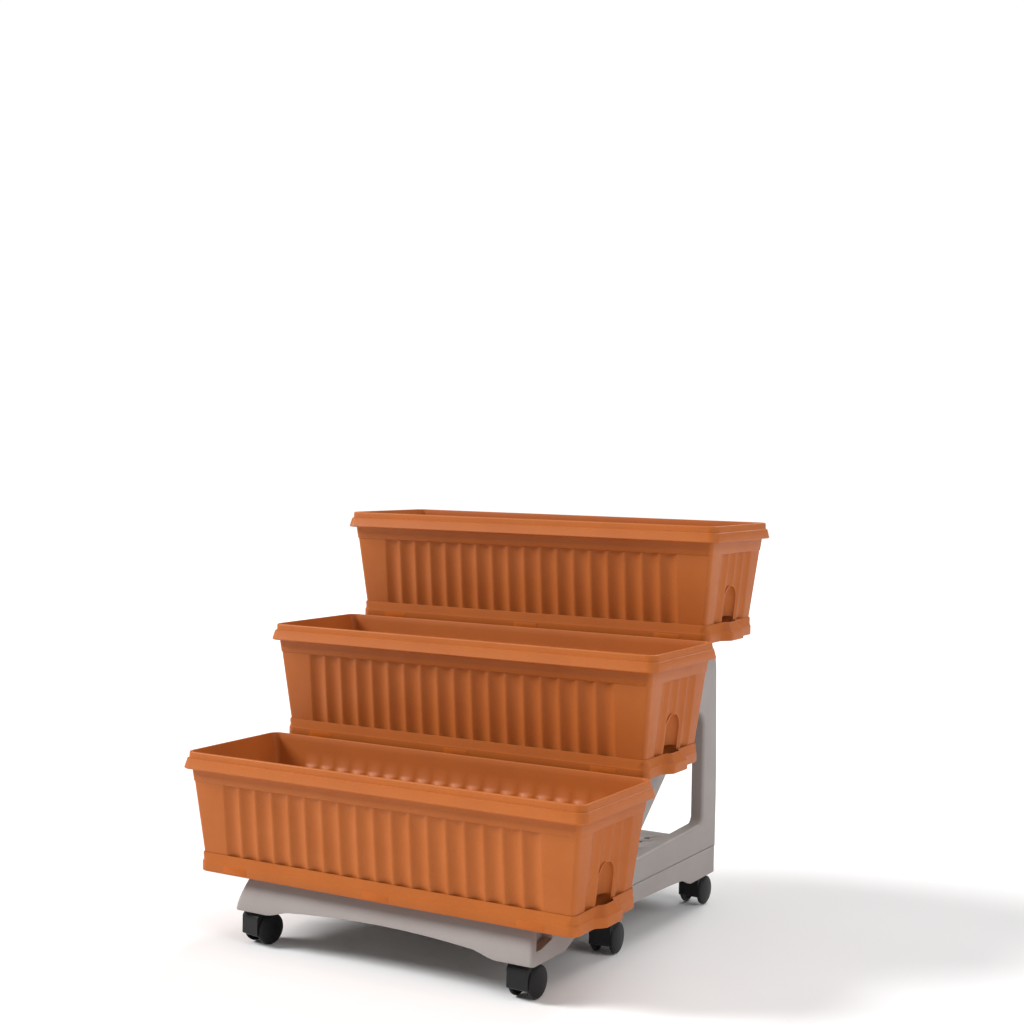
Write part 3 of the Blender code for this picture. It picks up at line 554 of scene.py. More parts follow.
class SaucerSizes(bpy.types.PropertyGroup):
    """Sizes of one saucer."""

    band_height: length("Band Height", "Height of the upright band", 0.0175)
    height: length("Height", "Height of the whole saucer", 0.0335)
    half_length: length("Half Length", "Half the length without the lobes", 0.3797)
    half_depth: length("Half Depth", "Half the depth", 0.1103)
    lobe_reach: length("Lobe Reach", "How far a pouring lobe stands out", 0.0145)
    lobe_flat: length("Lobe Flat", "Half the width of the lobe's straight front", 0.0240)
    lobe_root: length("Lobe Root", "Half the width of the lobe where it starts", 0.0480)
    mouth_reach: length("Mouth Reach", "How far a mouth stands out at the top", 0.0080)
    mouth_flat: length("Mouth Flat", "Half the width of the mouth's straight front", 0.0130)
    mouth_root: length("Mouth Root", "Half the width of the mouth where it starts", 0.0280)
    wall: length("Wall", "Thickness of the wall", 0.0020)
    clip_width: length("Clip Width", "Width of a clip in the band", 0.0500)
    clip_height: length("Clip Height", "Height of a clip in the band", 0.0115)


class StandSizes(bpy.types.PropertyGroup):
    """Sizes of the moulded stand."""

    lean: length("Lean", "How far the front leans in at the deck", 0.0260)
    panel_edge: length("Panel Edge", "Rounding of the side panels' outer edges", 0.0030)
    panel_rear: length("Panel Rear", "Rounding of the side panels' rear edge", 0.0110)
    panel_wall: length("Panel Wall", "Thickness of the side panels' walls", 0.0040)
    window_edge: length("Window Edge", "Rounding of the window's outer edge", 0.0062)
    hole_radius: length("Hole Radius", "Radius of the holes in the deck", 0.0065)
    rib: length("Rib", "Thickness of the ribs under the deck", 0.0022)
    shelf_thickness: length("Shelf Thickness", "Thickness of the shelves", 0.0036)
    shelf_rim: length("Shelf Rim", "Height of the rim under each shelf", 0.0180)


class CasterSizes(bpy.types.PropertyGroup):
    """Sizes of one twin wheel caster."""

    wheel_radius: length("Wheel Radius", "Radius of a wheel", 0.0285)
    wheel_inner: length("Wheel Inner", "Distance of a wheel's inner face from the middle", 0.0098)
    rim_inner: length("Rim Inner", "Distance of the rim's inner edge from the middle", 0.0160)
    hub_radius: length("Hub Radius", "Radius of the hub inside the rim", 0.0090)
    wheel_outer: length("Wheel Outer", "Distance of a wheel's outer face from the middle", 0.0240)
    hood_radius: length("Hood Radius", "Outer radius of the hood", 0.0319)
    hood_half: length("Hood Half", "Half the width of the hood", 0.0204)
    hood_rear: length("Hood Rear", "Radius of the web behind the stem", 0.0272)
    hood_cut: FloatProperty(name="Hood Cut", description="Lower edge of the hood above the axle",
                            default=-0.0092, unit="LENGTH")
    pocket_radius: length("Pocket Radius", "Radius of the pocket for a wheel", 0.0297)
    web_half: length("Web Half", "Half the thickness of the web between the wheels", 0.0090)
    trail: length("Trail", "How far the axle runs behind the stem", 0.0120)


class FinishColours(bpy.types.PropertyGroup):
    """Colours and surface of the materials."""

    terracotta: colour("Terracotta", "Colour of the troughs", (0.455, 0.124, 0.024))
    terracotta_shade: colour("Terracotta Shade", "Cloudy second colour", (0.420, 0.110, 0.020))
    saucer: colour("Saucer", "Colour of the saucers", (0.450, 0.121, 0.021))
    saucer_shade: colour("Saucer Shade", "Cloudy second colour", (0.412, 0.107, 0.017))
    clip: colour("Clip", "Colour of the clips", (0.460, 0.104, 0.006))
    stand: colour("Stand", "Colour of the stand", (0.330, 0.296, 0.282))
    stand_shade: colour("Stand Shade", "Cloudy second colour", (0.312, 0.278, 0.264))
    nylon: colour("Nylon", "Colour of the hoods and wheels", (0.0075, 0.0068, 0.0075))
    nylon_shade: colour("Nylon Shade", "Cloudy second colour", (0.0105, 0.0096, 0.0105))
    zinc: colour("Zinc", "Colour of the plated steel", (0.46, 0.46, 0.45))
    trough_roughness: factor("Trough Roughness", "Roughness of the terracotta", 0.46)
    stand_roughness: factor("Stand Roughness", "Roughness of the stand", 0.50)
    nylon_roughness: factor("Nylon Roughness", "Roughness of the nylon", 0.42)
    grain_size: FloatProperty(name="Grain Size", description="Grains in one metre", default=1300.0,
                              min=1.0)
    grain_depth: length("Grain Depth", "Depth of the moulded grain", 0.00010)


class StageSettings(bpy.types.PropertyGroup):
    """Camera, light and floor."""

    camera_place: FloatVectorProperty(name="Camera Place", description="Where the camera stands",
                                      default=(1.5498, -2.6010, 0.8776), size=3, unit="LENGTH",
                                      subtype="TRANSLATION")
    camera_heading: turn("Camera Heading", "Turn about the upright axis", 30.0706)
    camera_pitch: turn("Camera Pitch", "Downward tilt", 2.0917)
    camera_roll: turn("Camera Roll", "Turn about the line of sight", 1.0074)
    camera_lens: FloatProperty(name="Camera Lens", description="Focal length", default=57.78,
                               unit="CAMERA")
    key_power: power("Key Power", "Strength of the main light, front left", 3.2)
    fill_power: power("Fill Power", "Strength of the light on the right", 1.1)
    back_power: power("Back Power", "Strength of the light behind", 1.5)
    top_power: power("Top Power", "Strength of the light overhead", 0.4)
    room_light: power("Room Light", "Strength of the even light all round", 0.23)
    floor_colour: colour("Floor Colour", "Colour of the floor", (0.90, 0.90, 0.90))


# Troughs
def wall_half(z):
    """Half length and half depth of the trough's wall at a height."""
    top = TROUGH_TOP - bpy.context.scene.planter_trough.rim_height
    share = (top - z) / (top - WALL_LOW_Z)
    return tuple(a + (b - a) * share for a, b in zip(BODY_TOP_HALF, BODY_LOW_HALF))


def flute_columns(count, pitch, ridge, depth):
    """Places along a side and the wall's set-back at each: arcs joined by round ridges."""
    places = []
    depths = []
    scallop = (pitch - ridge) / 2
    curve = depth / (scallop * pitch / 2)
    for i in range(count):
        centre = (i - (count - 1) / 2) * pitch
        for k in range(FLUTE_SAMPLES):
            offset = ((k + 0.5) / FLUTE_SAMPLES - 0.5) * pitch
            if abs(offset) < scallop:
                value = depth - curve * offset ** 2
            else:
                value = curve * scallop / (ridge / 2) * (pitch / 2 - abs(offset)) ** 2
            places.append(centre + offset)
            depths.append(value)
    edge = count * pitch / 2
    return [-edge - 0.003, -edge, *places, edge, edge + 0.003], [0.0, 0.0, *depths, 0.0, 0.0]


def trough_stations(sizes):
    """Heights, half sizes, share of the flutes and corner radii, up the outside and down the inside."""
    rim_z = TROUGH_TOP - sizes.rim_height
    band_z = rim_z - sizes.band_height
    step_z = TROUGH_TOP - sizes.upper_band
    step_half = (LIP_HALF[0] - 0.0022, LIP_HALF[1] - 0.0048)
    rim_half = (LIP_HALF[0] - 0.0043, LIP_HALF[1] - 0.0081)

    def wall(z, inset, share=0.0):
        return z, tuple(half - inset for half in wall_half(z)), share, WALL_CORNER

    low = TROUGH_FLOOR_UNDER
    outside = [wall(low, BAND_STEP + 0.0030), wall(low + 0.0006, BAND_STEP + 0.0014),
               wall(low + 0.0018, BAND_STEP + 0.0003), wall(low + 0.0034, BAND_STEP),
               wall(low + 0.0064, BAND_STEP, 1.0)]
    for step in range(1, 7):
        outside.append(wall(low + 0.0064 + (band_z - 0.0010 - low - 0.0064) * step / 6, BAND_STEP, 1.0))
    outside += [wall(band_z - 0.0003, BAND_STEP, 0.96), wall(band_z, BAND_STEP - 0.0001, 0.0),
                wall(band_z + 0.0002, 0.0004), wall(band_z + 0.0008, 0.0),
                wall(rim_z - 0.0110, 0.0), wall(rim_z - 0.0016, 0.0), wall(rim_z - 0.0004, -0.0004),
                wall(rim_z, -0.0014)]
    rim = []
    for half, base, steps in (
            (LIP_HALF, rim_z, ((0.0, 0.0030), (0.0003, 0.0014), (0.0011, 0.0004), (0.0024, 0.0))),
            (step_half, step_z, ((-0.0014, 0.0), (-0.0006, 0.0002), (-0.0001, 0.0008))),
            (rim_half, step_z, ((0.0001, -0.0009), (0.0005, -0.0002), (0.0014, 0.0))),
            (rim_half, TROUGH_TOP, ((-0.0024, 0.0003), (-0.0010, 0.0008), (-0.0002, 0.0018), (0.0, 0.0030),
                                    (0.0, 0.0044), (-0.0004, 0.0054), (-0.0016, 0.0060),
                                    (-0.0120, 0.0074)))):
        for up, inset in steps:
            size = (half[0] - inset, half[1] - inset)
            rim.append((base + up, size, 0.0, RIM_CORNER - inset * 0.5))
    inset = sizes.wall + BAND_STEP
    inside = [wall(rim_z + 0.004, inset), wall(band_z + 0.004, inset), wall(band_z, inset, 0.4),
              wall(band_z - 0.004, inset, 1.0)]
    floor = TROUGH_FLOOR_TOP
    for step in range(1, 6):
        inside.append(wall(band_z - 0.004 - (band_z - 0.004 - floor - 0.009) * step / 5, inset, 1.0))
    inside += [wall(floor + 0.0050, inset + 0.0008, 1.0), wall(floor + 0.0022, inset + 0.0024, 0.8),
               wall(floor + 0.0006, inset + 0.0050, 0.4), wall(floor, inset + 0.0085, 0.0)]
    return outside + rim + inside


def niche_solid(side, half_width, spring, heights, narrowest, steps, close, set_back):
    """A domed upright solid on an end wall; set_back is its depth at a height and place."""
    rings = []
    for z in heights:
        rise = min(1.0, max(0.0, (z - spring) / half_width))
        narrow = max(narrowest, math.sqrt(1 - rise ** 2))
        face = wall_half(z)[0]
        ring = []
        for k in range(steps + 1):
            across = -math.cos(math.pi * k / steps)
            ring.append((side * (face - set_back(z, abs(across), narrow)), across * half_width * narrow, z))
        ring += [(side * (face + close), end * half_width * narrow, z) for end in (1, -1)]
        rings.append(ring)
    return loft(rings)


def dome_heights(spring, half_width, angles):
    """Heights of the rings of a niche's round top."""
    return [spring + half_width * math.sin(math.radians(angle)) for angle in angles]


def niche_scoop(side, sizes):
    """Cutter for a filling niche: an upright scoop with a domed top that leans with the end."""
    half_width = sizes.niche_width / 2
    spring = sizes.niche_height - half_width

    def set_back(z, across, narrow):
        depth = sizes.niche_depth * (0.25 + 0.75 * narrow) * (1 - across ** 2.6) ** 0.5
        if z < 0.040:
            depth += sizes.chute_depth * (1 - across ** 4) ** 0.5
        return BAND_STEP + 0.002 + depth * min(1.0, narrow * 2)

    heights = [TROUGH_FLOOR_UNDER - 0.003, 0.0395, 0.0405, spring * 0.7, spring]
    heights += dome_heights(spring, half_width, range(8, 90, 8))
    return niche_solid(side, half_width, spring, heights, 0.04, 20, 0.02, set_back)


def niche_liner(side, sizes):
    """Solid wall behind a niche, so that the scoop doesn't break through the thin side."""
    half_width = sizes.niche_width / 2 + sizes.wall
    spring = sizes.niche_height - sizes.niche_width / 2

    def set_back(z, across, narrow):
        depth = (sizes.niche_depth + sizes.wall) * narrow ** 0.5 * (1 - across ** 4) ** 0.5
        if z < 0.043:
            depth += sizes.chute_depth * (1 - across ** 6) ** 0.5
        return BAND_STEP + 0.005 + depth

    heights = [TROUGH_FLOOR_UNDER + 0.0004, 0.0425, 0.0445, spring]
    heights += dome_heights(spring, half_width, range(12, 85, 12))
    return niche_solid(side, half_width, spring, heights, 0.1, 16, -0.0036, set_back)


def trough_body(sizes):
    """The whole trough in one moulding."""
    long_places, long_depths = flute_columns(sizes.flutes_long, sizes.pitch_long, sizes.ridge,
                                             sizes.flute_depth)
    end_places, end_depths = flute_columns(sizes.flutes_end, sizes.pitch_end, sizes.ridge,
                                           sizes.flute_depth)
    depths = plan_values(long_depths, end_depths)[:, None]
    inward = plan_inward(len(long_places), len(end_places))
    shell = stacked([(z, rounded_plan(half, corner, long_places, end_places) + inward * depths * share)
                     for z, half, share, corner in trough_stations(sizes)])
    sides = (-1, 1)
    feet = [post(FOOT_RADIUS, 0.0031, TROUGH_FLOOR_UNDER + 0.001, (x, side * FOOT_Y))
            for side in sides for x in FOOT_XS]
    drains = [post(DRAIN_RADIUS, 0.0, TROUGH_FLOOR_TOP + 0.008, (x, side * DRAIN_Y))
              for side in sides for x in DRAIN_XS]
    liners = [niche_liner(side, sizes) for side in sides]
    scoops = [niche_scoop(side, sizes) for side in sides]
    return carved(shell, [("UNION", gathered(liners)), ("UNION", gathered(feet)),
                          ("DIFFERENCE", gathered(scoops)), ("DIFFERENCE", gathered(drains))])


class PLANTER_OT_troughs(bpy.types.Operator):
    """Build the three fluted troughs"""

    bl_idname = "planter.troughs"
    bl_label = "Troughs"

    def execute(self, context):
        data = datablock("trough", trough_body(context.scene.planter_trough))
        shaded(data, finish("terracotta_plastic"))
        for tier in TIERS:
            low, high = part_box(f"saucer_{tier}")
            place = (0.0, (low.y + high.y) / 2, low.z)
            piece(f"trough_{tier}_shell", data, f"trough_{tier}", f"trough_{tier}", place)
        return {"FINISHED"}


# Saucers
def saucer_plan(half, corner, lobe):
    """Round cornered outline whose ends swell into lobes of (reach, flat, root) with S shaped flanks."""
    x, y = half[0] - corner, half[1] - corner
    reach, flat, root = lobe
    flank = []
    for k in range(17):
        share = k / 16
        flank.append((half[0] + reach * smooth_step(share), -(root + (flat - root) * share)))
    front = [(half[0] + reach, flat * k / 3) for k in (-2, -1, 0, 1, 2)]
    end = flank + front + [(px, -py) for px, py in reversed(flank)]
    right = [(x * k / 12, -half[1]) for k in range(-11, 12)]
    right += arc((x, -y), corner, -90, CORNER_STEPS) + end
    right += arc((x, y), corner, 0, CORNER_STEPS)
    return right + [(-px, -py) for px, py in right]


def saucer_body(sizes):
    """Upright band, a shoulder that slopes up to the trough and to the mouths, and the hollow inside."""
    outer = (sizes.half_length, sizes.half_depth)
    top = tuple(half + 0.0006 for half in wall_half(sizes.height))
    inner = (outer[0] - sizes.wall, outer[1] - sizes.wall)
    band = sizes.band_height
    full = (sizes.lobe_reach, sizes.lobe_flat, sizes.lobe_root)
    mouth = (sizes.mouth_reach, sizes.mouth_flat, sizes.mouth_root)

    def between(share):
        return tuple(a + (b - a) * share for a, b in zip(full, mouth))

    def thinner(lobe, wall):
        return lobe[0], lobe[1] - wall * 0.4, lobe[2] - wall

    stations = [(0.0, outer, 0.0024, full), (0.0003, outer, 0.0012, full), (0.0010, outer, 0.0004, full),
                (0.0022, outer, 0.0, full), (band - 0.0006, outer, 0.0, full),
                (band - 0.0001, outer, 0.0001, between(0.01)), (band + 0.0002, outer, 0.0006, between(0.05))]
    for k in range(1, 7):
        share = k / 7
        half = tuple(a - 0.0007 + (b - a + 0.0007) * share for a, b in zip(outer, top))
        stations.append((band + 0.0002 + (sizes.height - band - 0.0006) * share, half, 0.0,
                         between(0.05 + 0.95 * share)))
    stations += [(sizes.height - 0.0002, top, 0.0001, mouth),
                 (sizes.height, top, 0.0004, thinner(mouth, 0.0003)),
                 (sizes.height, top, 0.0007, thinner(mouth, 0.0008)),
                 (sizes.height - 0.0006, top, 0.0009, thinner(mouth, 0.0010)),
                 (sizes.height - 0.0030, top, 0.0010, thinner(mouth, 0.0012)),
                 (band, inner, 0.0, thinner(full, 0.003)), (0.0052, inner, 0.0, thinner(full, 0.003)),
                 (0.0034, inner, 0.0008, thinner(full, 0.004)), (0.0028, inner, 0.0024, thinner(full, 0.005))]
    levels = []
    for z, half, inset, lobe in stations:
        corner = WALL_CORNER + (SAUCER_CORNER - WALL_CORNER) * smooth_step((sizes.height - z) / 0.014)
        levels.append((z, saucer_plan((half[0] - inset, half[1] - inset), corner, lobe)))
    return stacked(levels)


def clip_plates(sizes):
    """Thin clips let into the long sides of the band."""
    plates = []
    middle = sizes.band_height / 2
    for side in (-1, 1):
        face = side * sizes.half_depth
        for x in CLIP_XS:
            outline = arc((sizes.clip_width / 2 - 0.001, sizes.clip_height / 2 - 0.001), 0.001, 0, 4)
            outline += [(-px, py) for px, py in reversed(outline)]
            outline += [(-px, -py) for px, py in outline]
            rings = []
            for reach, inset in ((-0.0008, 0.0), (0.0002, 0.0), (0.00035, 0.0003)):
                rings.append([(x + px * (1 - inset * 40), face + side * reach,
                               middle + pz * (1 - inset * 150)) for px, pz in outline])
            plates.append(loft(rings))
    return gathered(plates)


class PLANTER_OT_saucers(bpy.types.Operator):
    """Build the three saucers and their clips"""

    bl_idname = "planter.saucers"
    bl_label = "Saucers"

    def execute(self, context):
        sizes = context.scene.planter_saucer
        tray = shaded(datablock("saucer", saucer_body(sizes)), finish("saucer_plastic"))
        clips = shaded(datablock("saucer_clips", clip_plates(sizes)), finish("clip_plastic"))
        for tier in TIERS:
            low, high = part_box(f"saucer_{tier}")
            place = (0.0, (low.y + high.y) / 2, low.z)
            piece(f"saucer_{tier}_tray", tray, f"saucer_{tier}", f"saucer_{tier}", place)
            piece(f"saucer_{tier}_clips", clips, f"saucer_{tier}", None, place)
        return {"FINISHED"}


# Base
def skirt_foot(x, y):
    """Lower edge of the skirt: feet at the corners and middle, shallow arches between."""
    if y < BASE_LOW.y + SKIRT_CORNER:
        outer, inner, step, crown = FRONT_ARCH
        rise = step * smooth_step((outer - abs(x)) / (outer - inner))
        return BASE_LOW.z + rise + crown * max(0.0, 1 - (x / inner) ** 2)
    if abs(x) > BASE_HIGH.x - SKIRT_CORNER:
        front, rear, run, step, crown = SIDE_ARCH
        rise = step * smooth_step((y - front) / run) * smooth_step((rear - y) / run)
        middle, span = (front + rear) / 2, (rear - front) / 2
        return BASE_LOW.z + rise + crown * max(0.0, 1 - ((y - middle) / span) ** 2)
    return BASE_LOW.z


def skirt_lean(z):
    """How far the front leans in at a height."""
    rise = min(1.0, max(0.0, (z - BASE_LOW.z) / (BASE_HIGH.z - BASE_LOW.z)))
    return bpy.context.scene.planter_stand.lean * rise ** LEAN_POWER


def ledge_z(y):
    """Height of the side ledge, which falls towards the front."""
    front_y, front_z, rear_y, rear_z = LEDGE_LINE
    share = min(1.0, max(0.0, (y - front_y) / (rear_y - front_y)))
    return front_z + (rear_z - front_z) * share


def skirt_columns(wall):
    """Plan of the skirt as (x, y) of the outside and of a line set in by the wall."""
    side_ys = [-0.3458, CAP_END_Y, CAP_END_Y + 0.0003, -0.3410, -0.3370, -0.3320, -0.3250, -0.3150, -0.3030,
               TOE_Y - 0.0006, TOE_Y - 0.0002, TOE_Y + 0.004, TOE_Y + 0.0044,
               *np.linspace(TOE_Y + 0.012, BASE_HIGH.y - 0.024, 60).tolist()]
    centre_y = (BASE_LOW.y + BASE_HIGH.y) / 2
    across = np.linspace(-0.280, 0.280, 71).tolist()
    half_y = (BASE_HIGH.y - BASE_LOW.y) / 2
    columns = []

    def add(point, inward):
        columns.append((point, (point[0] + inward[0] * wall, point[1] + inward[1] * wall)))

    def add_corner(side, end, radius, start):
        for k in range(CORNER_STEPS + 1):
            angle = math.radians(start + 90 * k / CORNER_STEPS)
            direction = (math.cos(angle), math.sin(angle))
            add((side * (BASE_HIGH.x - radius) + radius * direction[0],
                 centre_y + end * (half_y - radius) + radius * direction[1]),
                (-direction[0], -direction[1]))

    for u in across:
        add((u, BASE_LOW.y), (0, 1))
    add_corner(1, -1, FRONT_CORNER, -90)
    for v in side_ys:
        add((BASE_HIGH.x, v), (-1, 0))
    add_corner(1, 1, SKIRT_CORNER, 0)
    for u in reversed(across):
        add((u, centre_y + half_y), (0, -1))
    add_corner(-1, 1, SKIRT_CORNER, 90)
    for v in reversed(side_ys):
        add((-BASE_HIGH.x, v), (1, 0))
    add_corner(-1, -1, FRONT_CORNER, 180)
    return columns


def skirt_point(outer, here, z, above):
    """A point of the skirt at a height; the front leans in, and above the ledge so do the sides."""
    x, y = here
    lean = skirt_lean(z)
    side = math.copysign(1, outer[0])
    y_shift = lean * smooth_step((-0.285 - outer[1]) / 0.06)
    if outer[1] <= CAP_END_Y:
        x_shift = SIDE_LEAN * lean * smooth_step((abs(outer[0]) - 0.20) / 0.08)
        return x - side * x_shift, y + y_shift, z
    if outer[1] < TOE_Y - 0.0003 and above:
        depth = BASE_HIGH.x - LEDGE_INNER_X + 0.0025 * (z - ledge_z(y)) / 0.026
        return x - side * depth, y + y_shift, z
    fade = 1 - smooth_step((outer[1] - CAP_END_Y) / 0.018)
    return x - side * SIDE_LEAN * lean * fade, y + y_shift * fade, z


def skirt_ring(columns, inset, height, above):
    """One ring of the skirt, set in from its outside, with a height for each column."""
    share = inset / SKIRT_WALL
    ring = []
    for outer, inner in columns:
        here = tuple(a + (b - a) * share for a, b in zip(outer, inner))
        ring.append(skirt_point(outer, here, height(outer), above))
    return ring


def skirt_shell():
    """Deck and skirt as one closed moulding, with the front roll and the side ledges."""
    columns = skirt_columns(SKIRT_WALL)
    top = BASE_HIGH.z
    edge = top - 0.0028
    outside = [skirt_ring(columns, inset, lambda outer, z=z: z, True)
               for z, inset in ((top, 0.0026), (top - 0.0004, 0.0012), (top - 0.0014, 0.0003), (edge, 0.0))]
    for step in range(1, 8):
        outside.append(skirt_ring(
            columns, 0.0, lambda outer, k=step: edge + (ledge_z(outer[1]) + 0.0002 - edge) * k / 7, True))
    for step in range(0, 9):
        outside.append(skirt_ring(
            columns, 0.0, lambda outer, k=step: ledge_z(outer[1])
            + (skirt_foot(*outer) + 0.0012 - ledge_z(outer[1])) * k / 8, False))
    for lift, inset in ((0.0003, 0.0004), (0.0, 0.0012)):
        outside.append(skirt_ring(columns, inset, lambda outer, up=lift: skirt_foot(*outer) + up, False))

    inside = []
    under = top - DECK_THICKNESS
    for step in range(0, 6):
        ring = []
        for outer, inner in columns:
            foot = skirt_foot(*outer)
            z = foot + (under - foot) * step / 5
            x, y, z = skirt_point(outer, inner, z, outer[1] <= CAP_END_Y)
            if CAP_END_Y - 0.001 < outer[1] < TOE_Y + 0.0042:
                x = math.copysign(min(abs(x), LEDGE_INNER_X - SKIRT_WALL), x)
            ring.append((x, y, z))
        inside.append(ring)
    return loft(outside + inside)


def caster_places():
    """Name, stem position and heading of each caster, from the frame's joints."""
    axes = {joint["name"]: joint for joint in frame["joints"]}
    places = []
    for name in CORNERS:
        low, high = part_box(f"caster_{name}_stem")
        spin = axes[f"caster_{name}_wheel_a_spin"]
        heading = math.atan2(spin["axis"][1], spin["axis"][0])
        places.append((name, ((low.x + high.x) / 2, (low.y + high.y) / 2), heading, spin["pos_m"]))
    return places


def base_underside(sizes):
    """Caster sockets, their webs and the grid of ribs under the deck."""
    under = BASE_HIGH.z - DECK_THICKNESS + 0.0005
    solids = []
    for _, (x, y), _, _ in caster_places():
        profile = [(0.0058, 0.0650), (0.0062, 0.0636), (0.0078, 0.0635), (0.0086, 0.0642),
                   (0.0088, 0.0700), (0.0088, 0.1050), (0.0070, 0.1120), (0.0070, under - 0.0005),
                   (0.0058, under - 0.0005), (0.0058, 0.0650)]
        solids.append(moved(turned(profile, 32), (x, y, 0)))
        reach = -0.036 if y > 0.2 else 0.036
        low_y, high_y = sorted((y + math.copysign(0.008, reach), y + reach))
        solids.append(block((x - sizes.rib / 2, low_y, SOCKET_WEB_Z), (x + sizes.rib / 2, high_y, under)))
        inner_x = math.copysign(abs(x) - 0.036, x)
        low_x, high_x = sorted((inner_x, math.copysign(abs(x) - 0.008, x)))
        solids.append(block((low_x, y - sizes.rib / 2, SOCKET_WEB_Z), (high_x, y + sizes.rib / 2, under)))
    for x in RIB_XS:
        solids.append(block((x - sizes.rib / 2, BASE_LOW.y + 0.030, RIB_Z),
                            (x + sizes.rib / 2, BASE_HIGH.y - 0.0045, under)))
    for y in RIB_YS:
        solids.append(block((-0.2795, y - sizes.rib / 2, RIB_Z), (0.2795, y + sizes.rib / 2, under)))
    return solids


class PLANTER_OT_base(bpy.types.Operator):
    """Build the deck with its skirt, sockets and ribs"""

    bl_idname = "planter.base"
    bl_label = "Base"

    def execute(self, context):
        sizes = context.scene.planter_stand
        ledges, seats, holes = [], [], []
        inner_x = PANEL_LOW.x - 0.0003
        for sign in (-1, 1):
            xs = sorted((sign * inner_x, sign * 0.33))
            ledges.append(block((xs[0], TOE_Y, PANEL_FOOT_Z), (xs[1], 0.41, 0.14)))
            xs = sorted((sign * (BASE_HIGH.x - 0.0016), sign * 0.33))
            ledges.append(block((xs[0], TOE_Y, PANEL_FOOT_Z - 0.0012), (xs[1], 0.41, 0.14)))
            xs = sorted((sign * (inner_x - 0.004), sign * (BASE_HIGH.x - 0.003)))
            seats.append(block((xs[0], TOE_Y + 0.001, PANEL_FOOT_Z - 0.004),
                               (xs[1], BASE_HIGH.y - 0.002, PANEL_FOOT_Z + 0.003)))
        for x in HOLE_XS:
            for y in HOLE_YS:
                profile = [(0, 0.105), (sizes.hole_radius, 0.105), (sizes.hole_radius, BASE_HIGH.z - 0.0012),
                           (sizes.hole_radius + 0.0004, BASE_HIGH.z - 0.0004),
                           (sizes.hole_radius + 0.0014, BASE_HIGH.z + 0.0002),
                           (sizes.hole_radius + 0.0014, 0.130), (0, 0.130)]
                holes.append(moved(turned(profile, 32), (x, y, 0)))
        steps = [("UNION", gathered(seats))] + [("DIFFERENCE", ledge) for ledge in ledges]
        shell = carved(skirt_shell(), [*steps, ("DIFFERENCE", gathered(holes))])
        data = datablock("base", gathered([shell, *base_underside(sizes)]))
        shaded(data, finish("grey_plastic"))
        piece("base_moulding", data, "stand", "base_tray")
        return {"FINISHED"}


# Side panels
def stair_corners(toe):
    """Corners and rounds of a side panel's outline as ((y, z), radius), anticlockwise."""
    middle_tread, top_tread = TREAD_TOPS
    corners = [((BASE_HIGH.y, PANEL_LOW.z), 0.0), ((0.3580, top_tread), 0.075),
               ((0.1370, top_tread), 0.004), ((0.1290, middle_tread + 0.060), 0.060),
               ((0.1130, middle_tread), 0.004), ((-0.1100, middle_tread), 0.004)]
    if toe:
        return corners + [((-0.1330, BASE_HIGH.z), 0.006), ((PANEL_LOW.y, BASE_HIGH.z), 0.0),
                          ((PANEL_LOW.y, PANEL_LOW.z), 0.0)]
    return corners + [((-0.1330, PANEL_LOW.z), 0.0)]


def window_outline():
    """Opening under the stairs as (y, z), anticlockwise."""
    return fillet([((-0.0250, 0.1570), 0.016), ((0.3080, 0.1690), 0.016),
                   ((0.3060, 0.3880), 0.030), ((0.2550, 0.3850), 0.040)], 12)


def prism_x(sections):
    """A body through (x, outline) sections along X."""
    return loft([[(x, y, z) for y, z in outline] for x, outline in sections])


def panel_body(sizes):
    """Right hand panel: flat outside with round edges, hollow inside with ribs, and a window."""
    outer_x, inner_x = BASE_HIGH.x, PANEL_LOW.x
    outline = split_outline(fillet(stair_corners(True), 10), 0.05)
    rounds = [0.0012 if z < PANEL_LOW.z + 0.003 else sizes.panel_edge for _, z in outline]
    sections = [(inner_x, offset_outline(outline, 0.0006)), (inner_x + 0.0006, outline)]
    for reach in (0.0110, 0.0090, 0.0070, 0.0052, 0.0038, 0.0026, 0.0016, 0.0009, 0.0004, 0.0001, 0.0):
        insets = []
        for radius in rounds:
            along = max(0.0, radius - reach)
            insets.append(radius - math.sqrt(radius ** 2 - along ** 2))
        along = max(0.0, sizes.panel_rear - reach)
        rear = BASE_HIGH.y - sizes.panel_rear + math.sqrt(sizes.panel_rear ** 2 - along ** 2)
        sections.append((outer_x - reach, [(min(y, rear), z) for y, z in offset_outline(outline, insets)]))
    pocket_outline = offset_outline([corner for corner, _ in stair_corners(False)], sizes.panel_wall)
    pocket_corners = [(point, radius) for point, (_, radius) in zip(pocket_outline, stair_corners(False))]
    pocket = prism_x([(inner_x - 0.01, fillet(pocket_corners, 10)),
                      (outer_x - sizes.panel_wall, fillet(pocket_corners, 10))])
    window = window_outline()
    collar_outline = offset_outline(window, -sizes.panel_wall)
    collar = prism_x([(inner_x, collar_outline), (outer_x - 0.001, collar_outline)])
    flare = [(inner_x - 0.02, offset_outline(window, -0.0012)), (inner_x, offset_outline(window, -0.0012)),
             (inner_x + 0.0012, window), (outer_x - sizes.window_edge, window)]
    for k in range(1, 6):
        angle = math.radians(90 * k / 5)
        flare.append((outer_x - sizes.window_edge * (1 - math.sin(angle)),
                      offset_outline(window, -sizes.window_edge * (1 - math.cos(angle)))))
    flare.append((outer_x + 0.02, offset_outline(window, -sizes.window_edge)))
    shell = carved(prism_x(sections), [("DIFFERENCE", pocket), ("UNION", collar),
                                       ("DIFFERENCE", prism_x(flare))])
    return gathered([shell, *panel_ribs(sizes)])


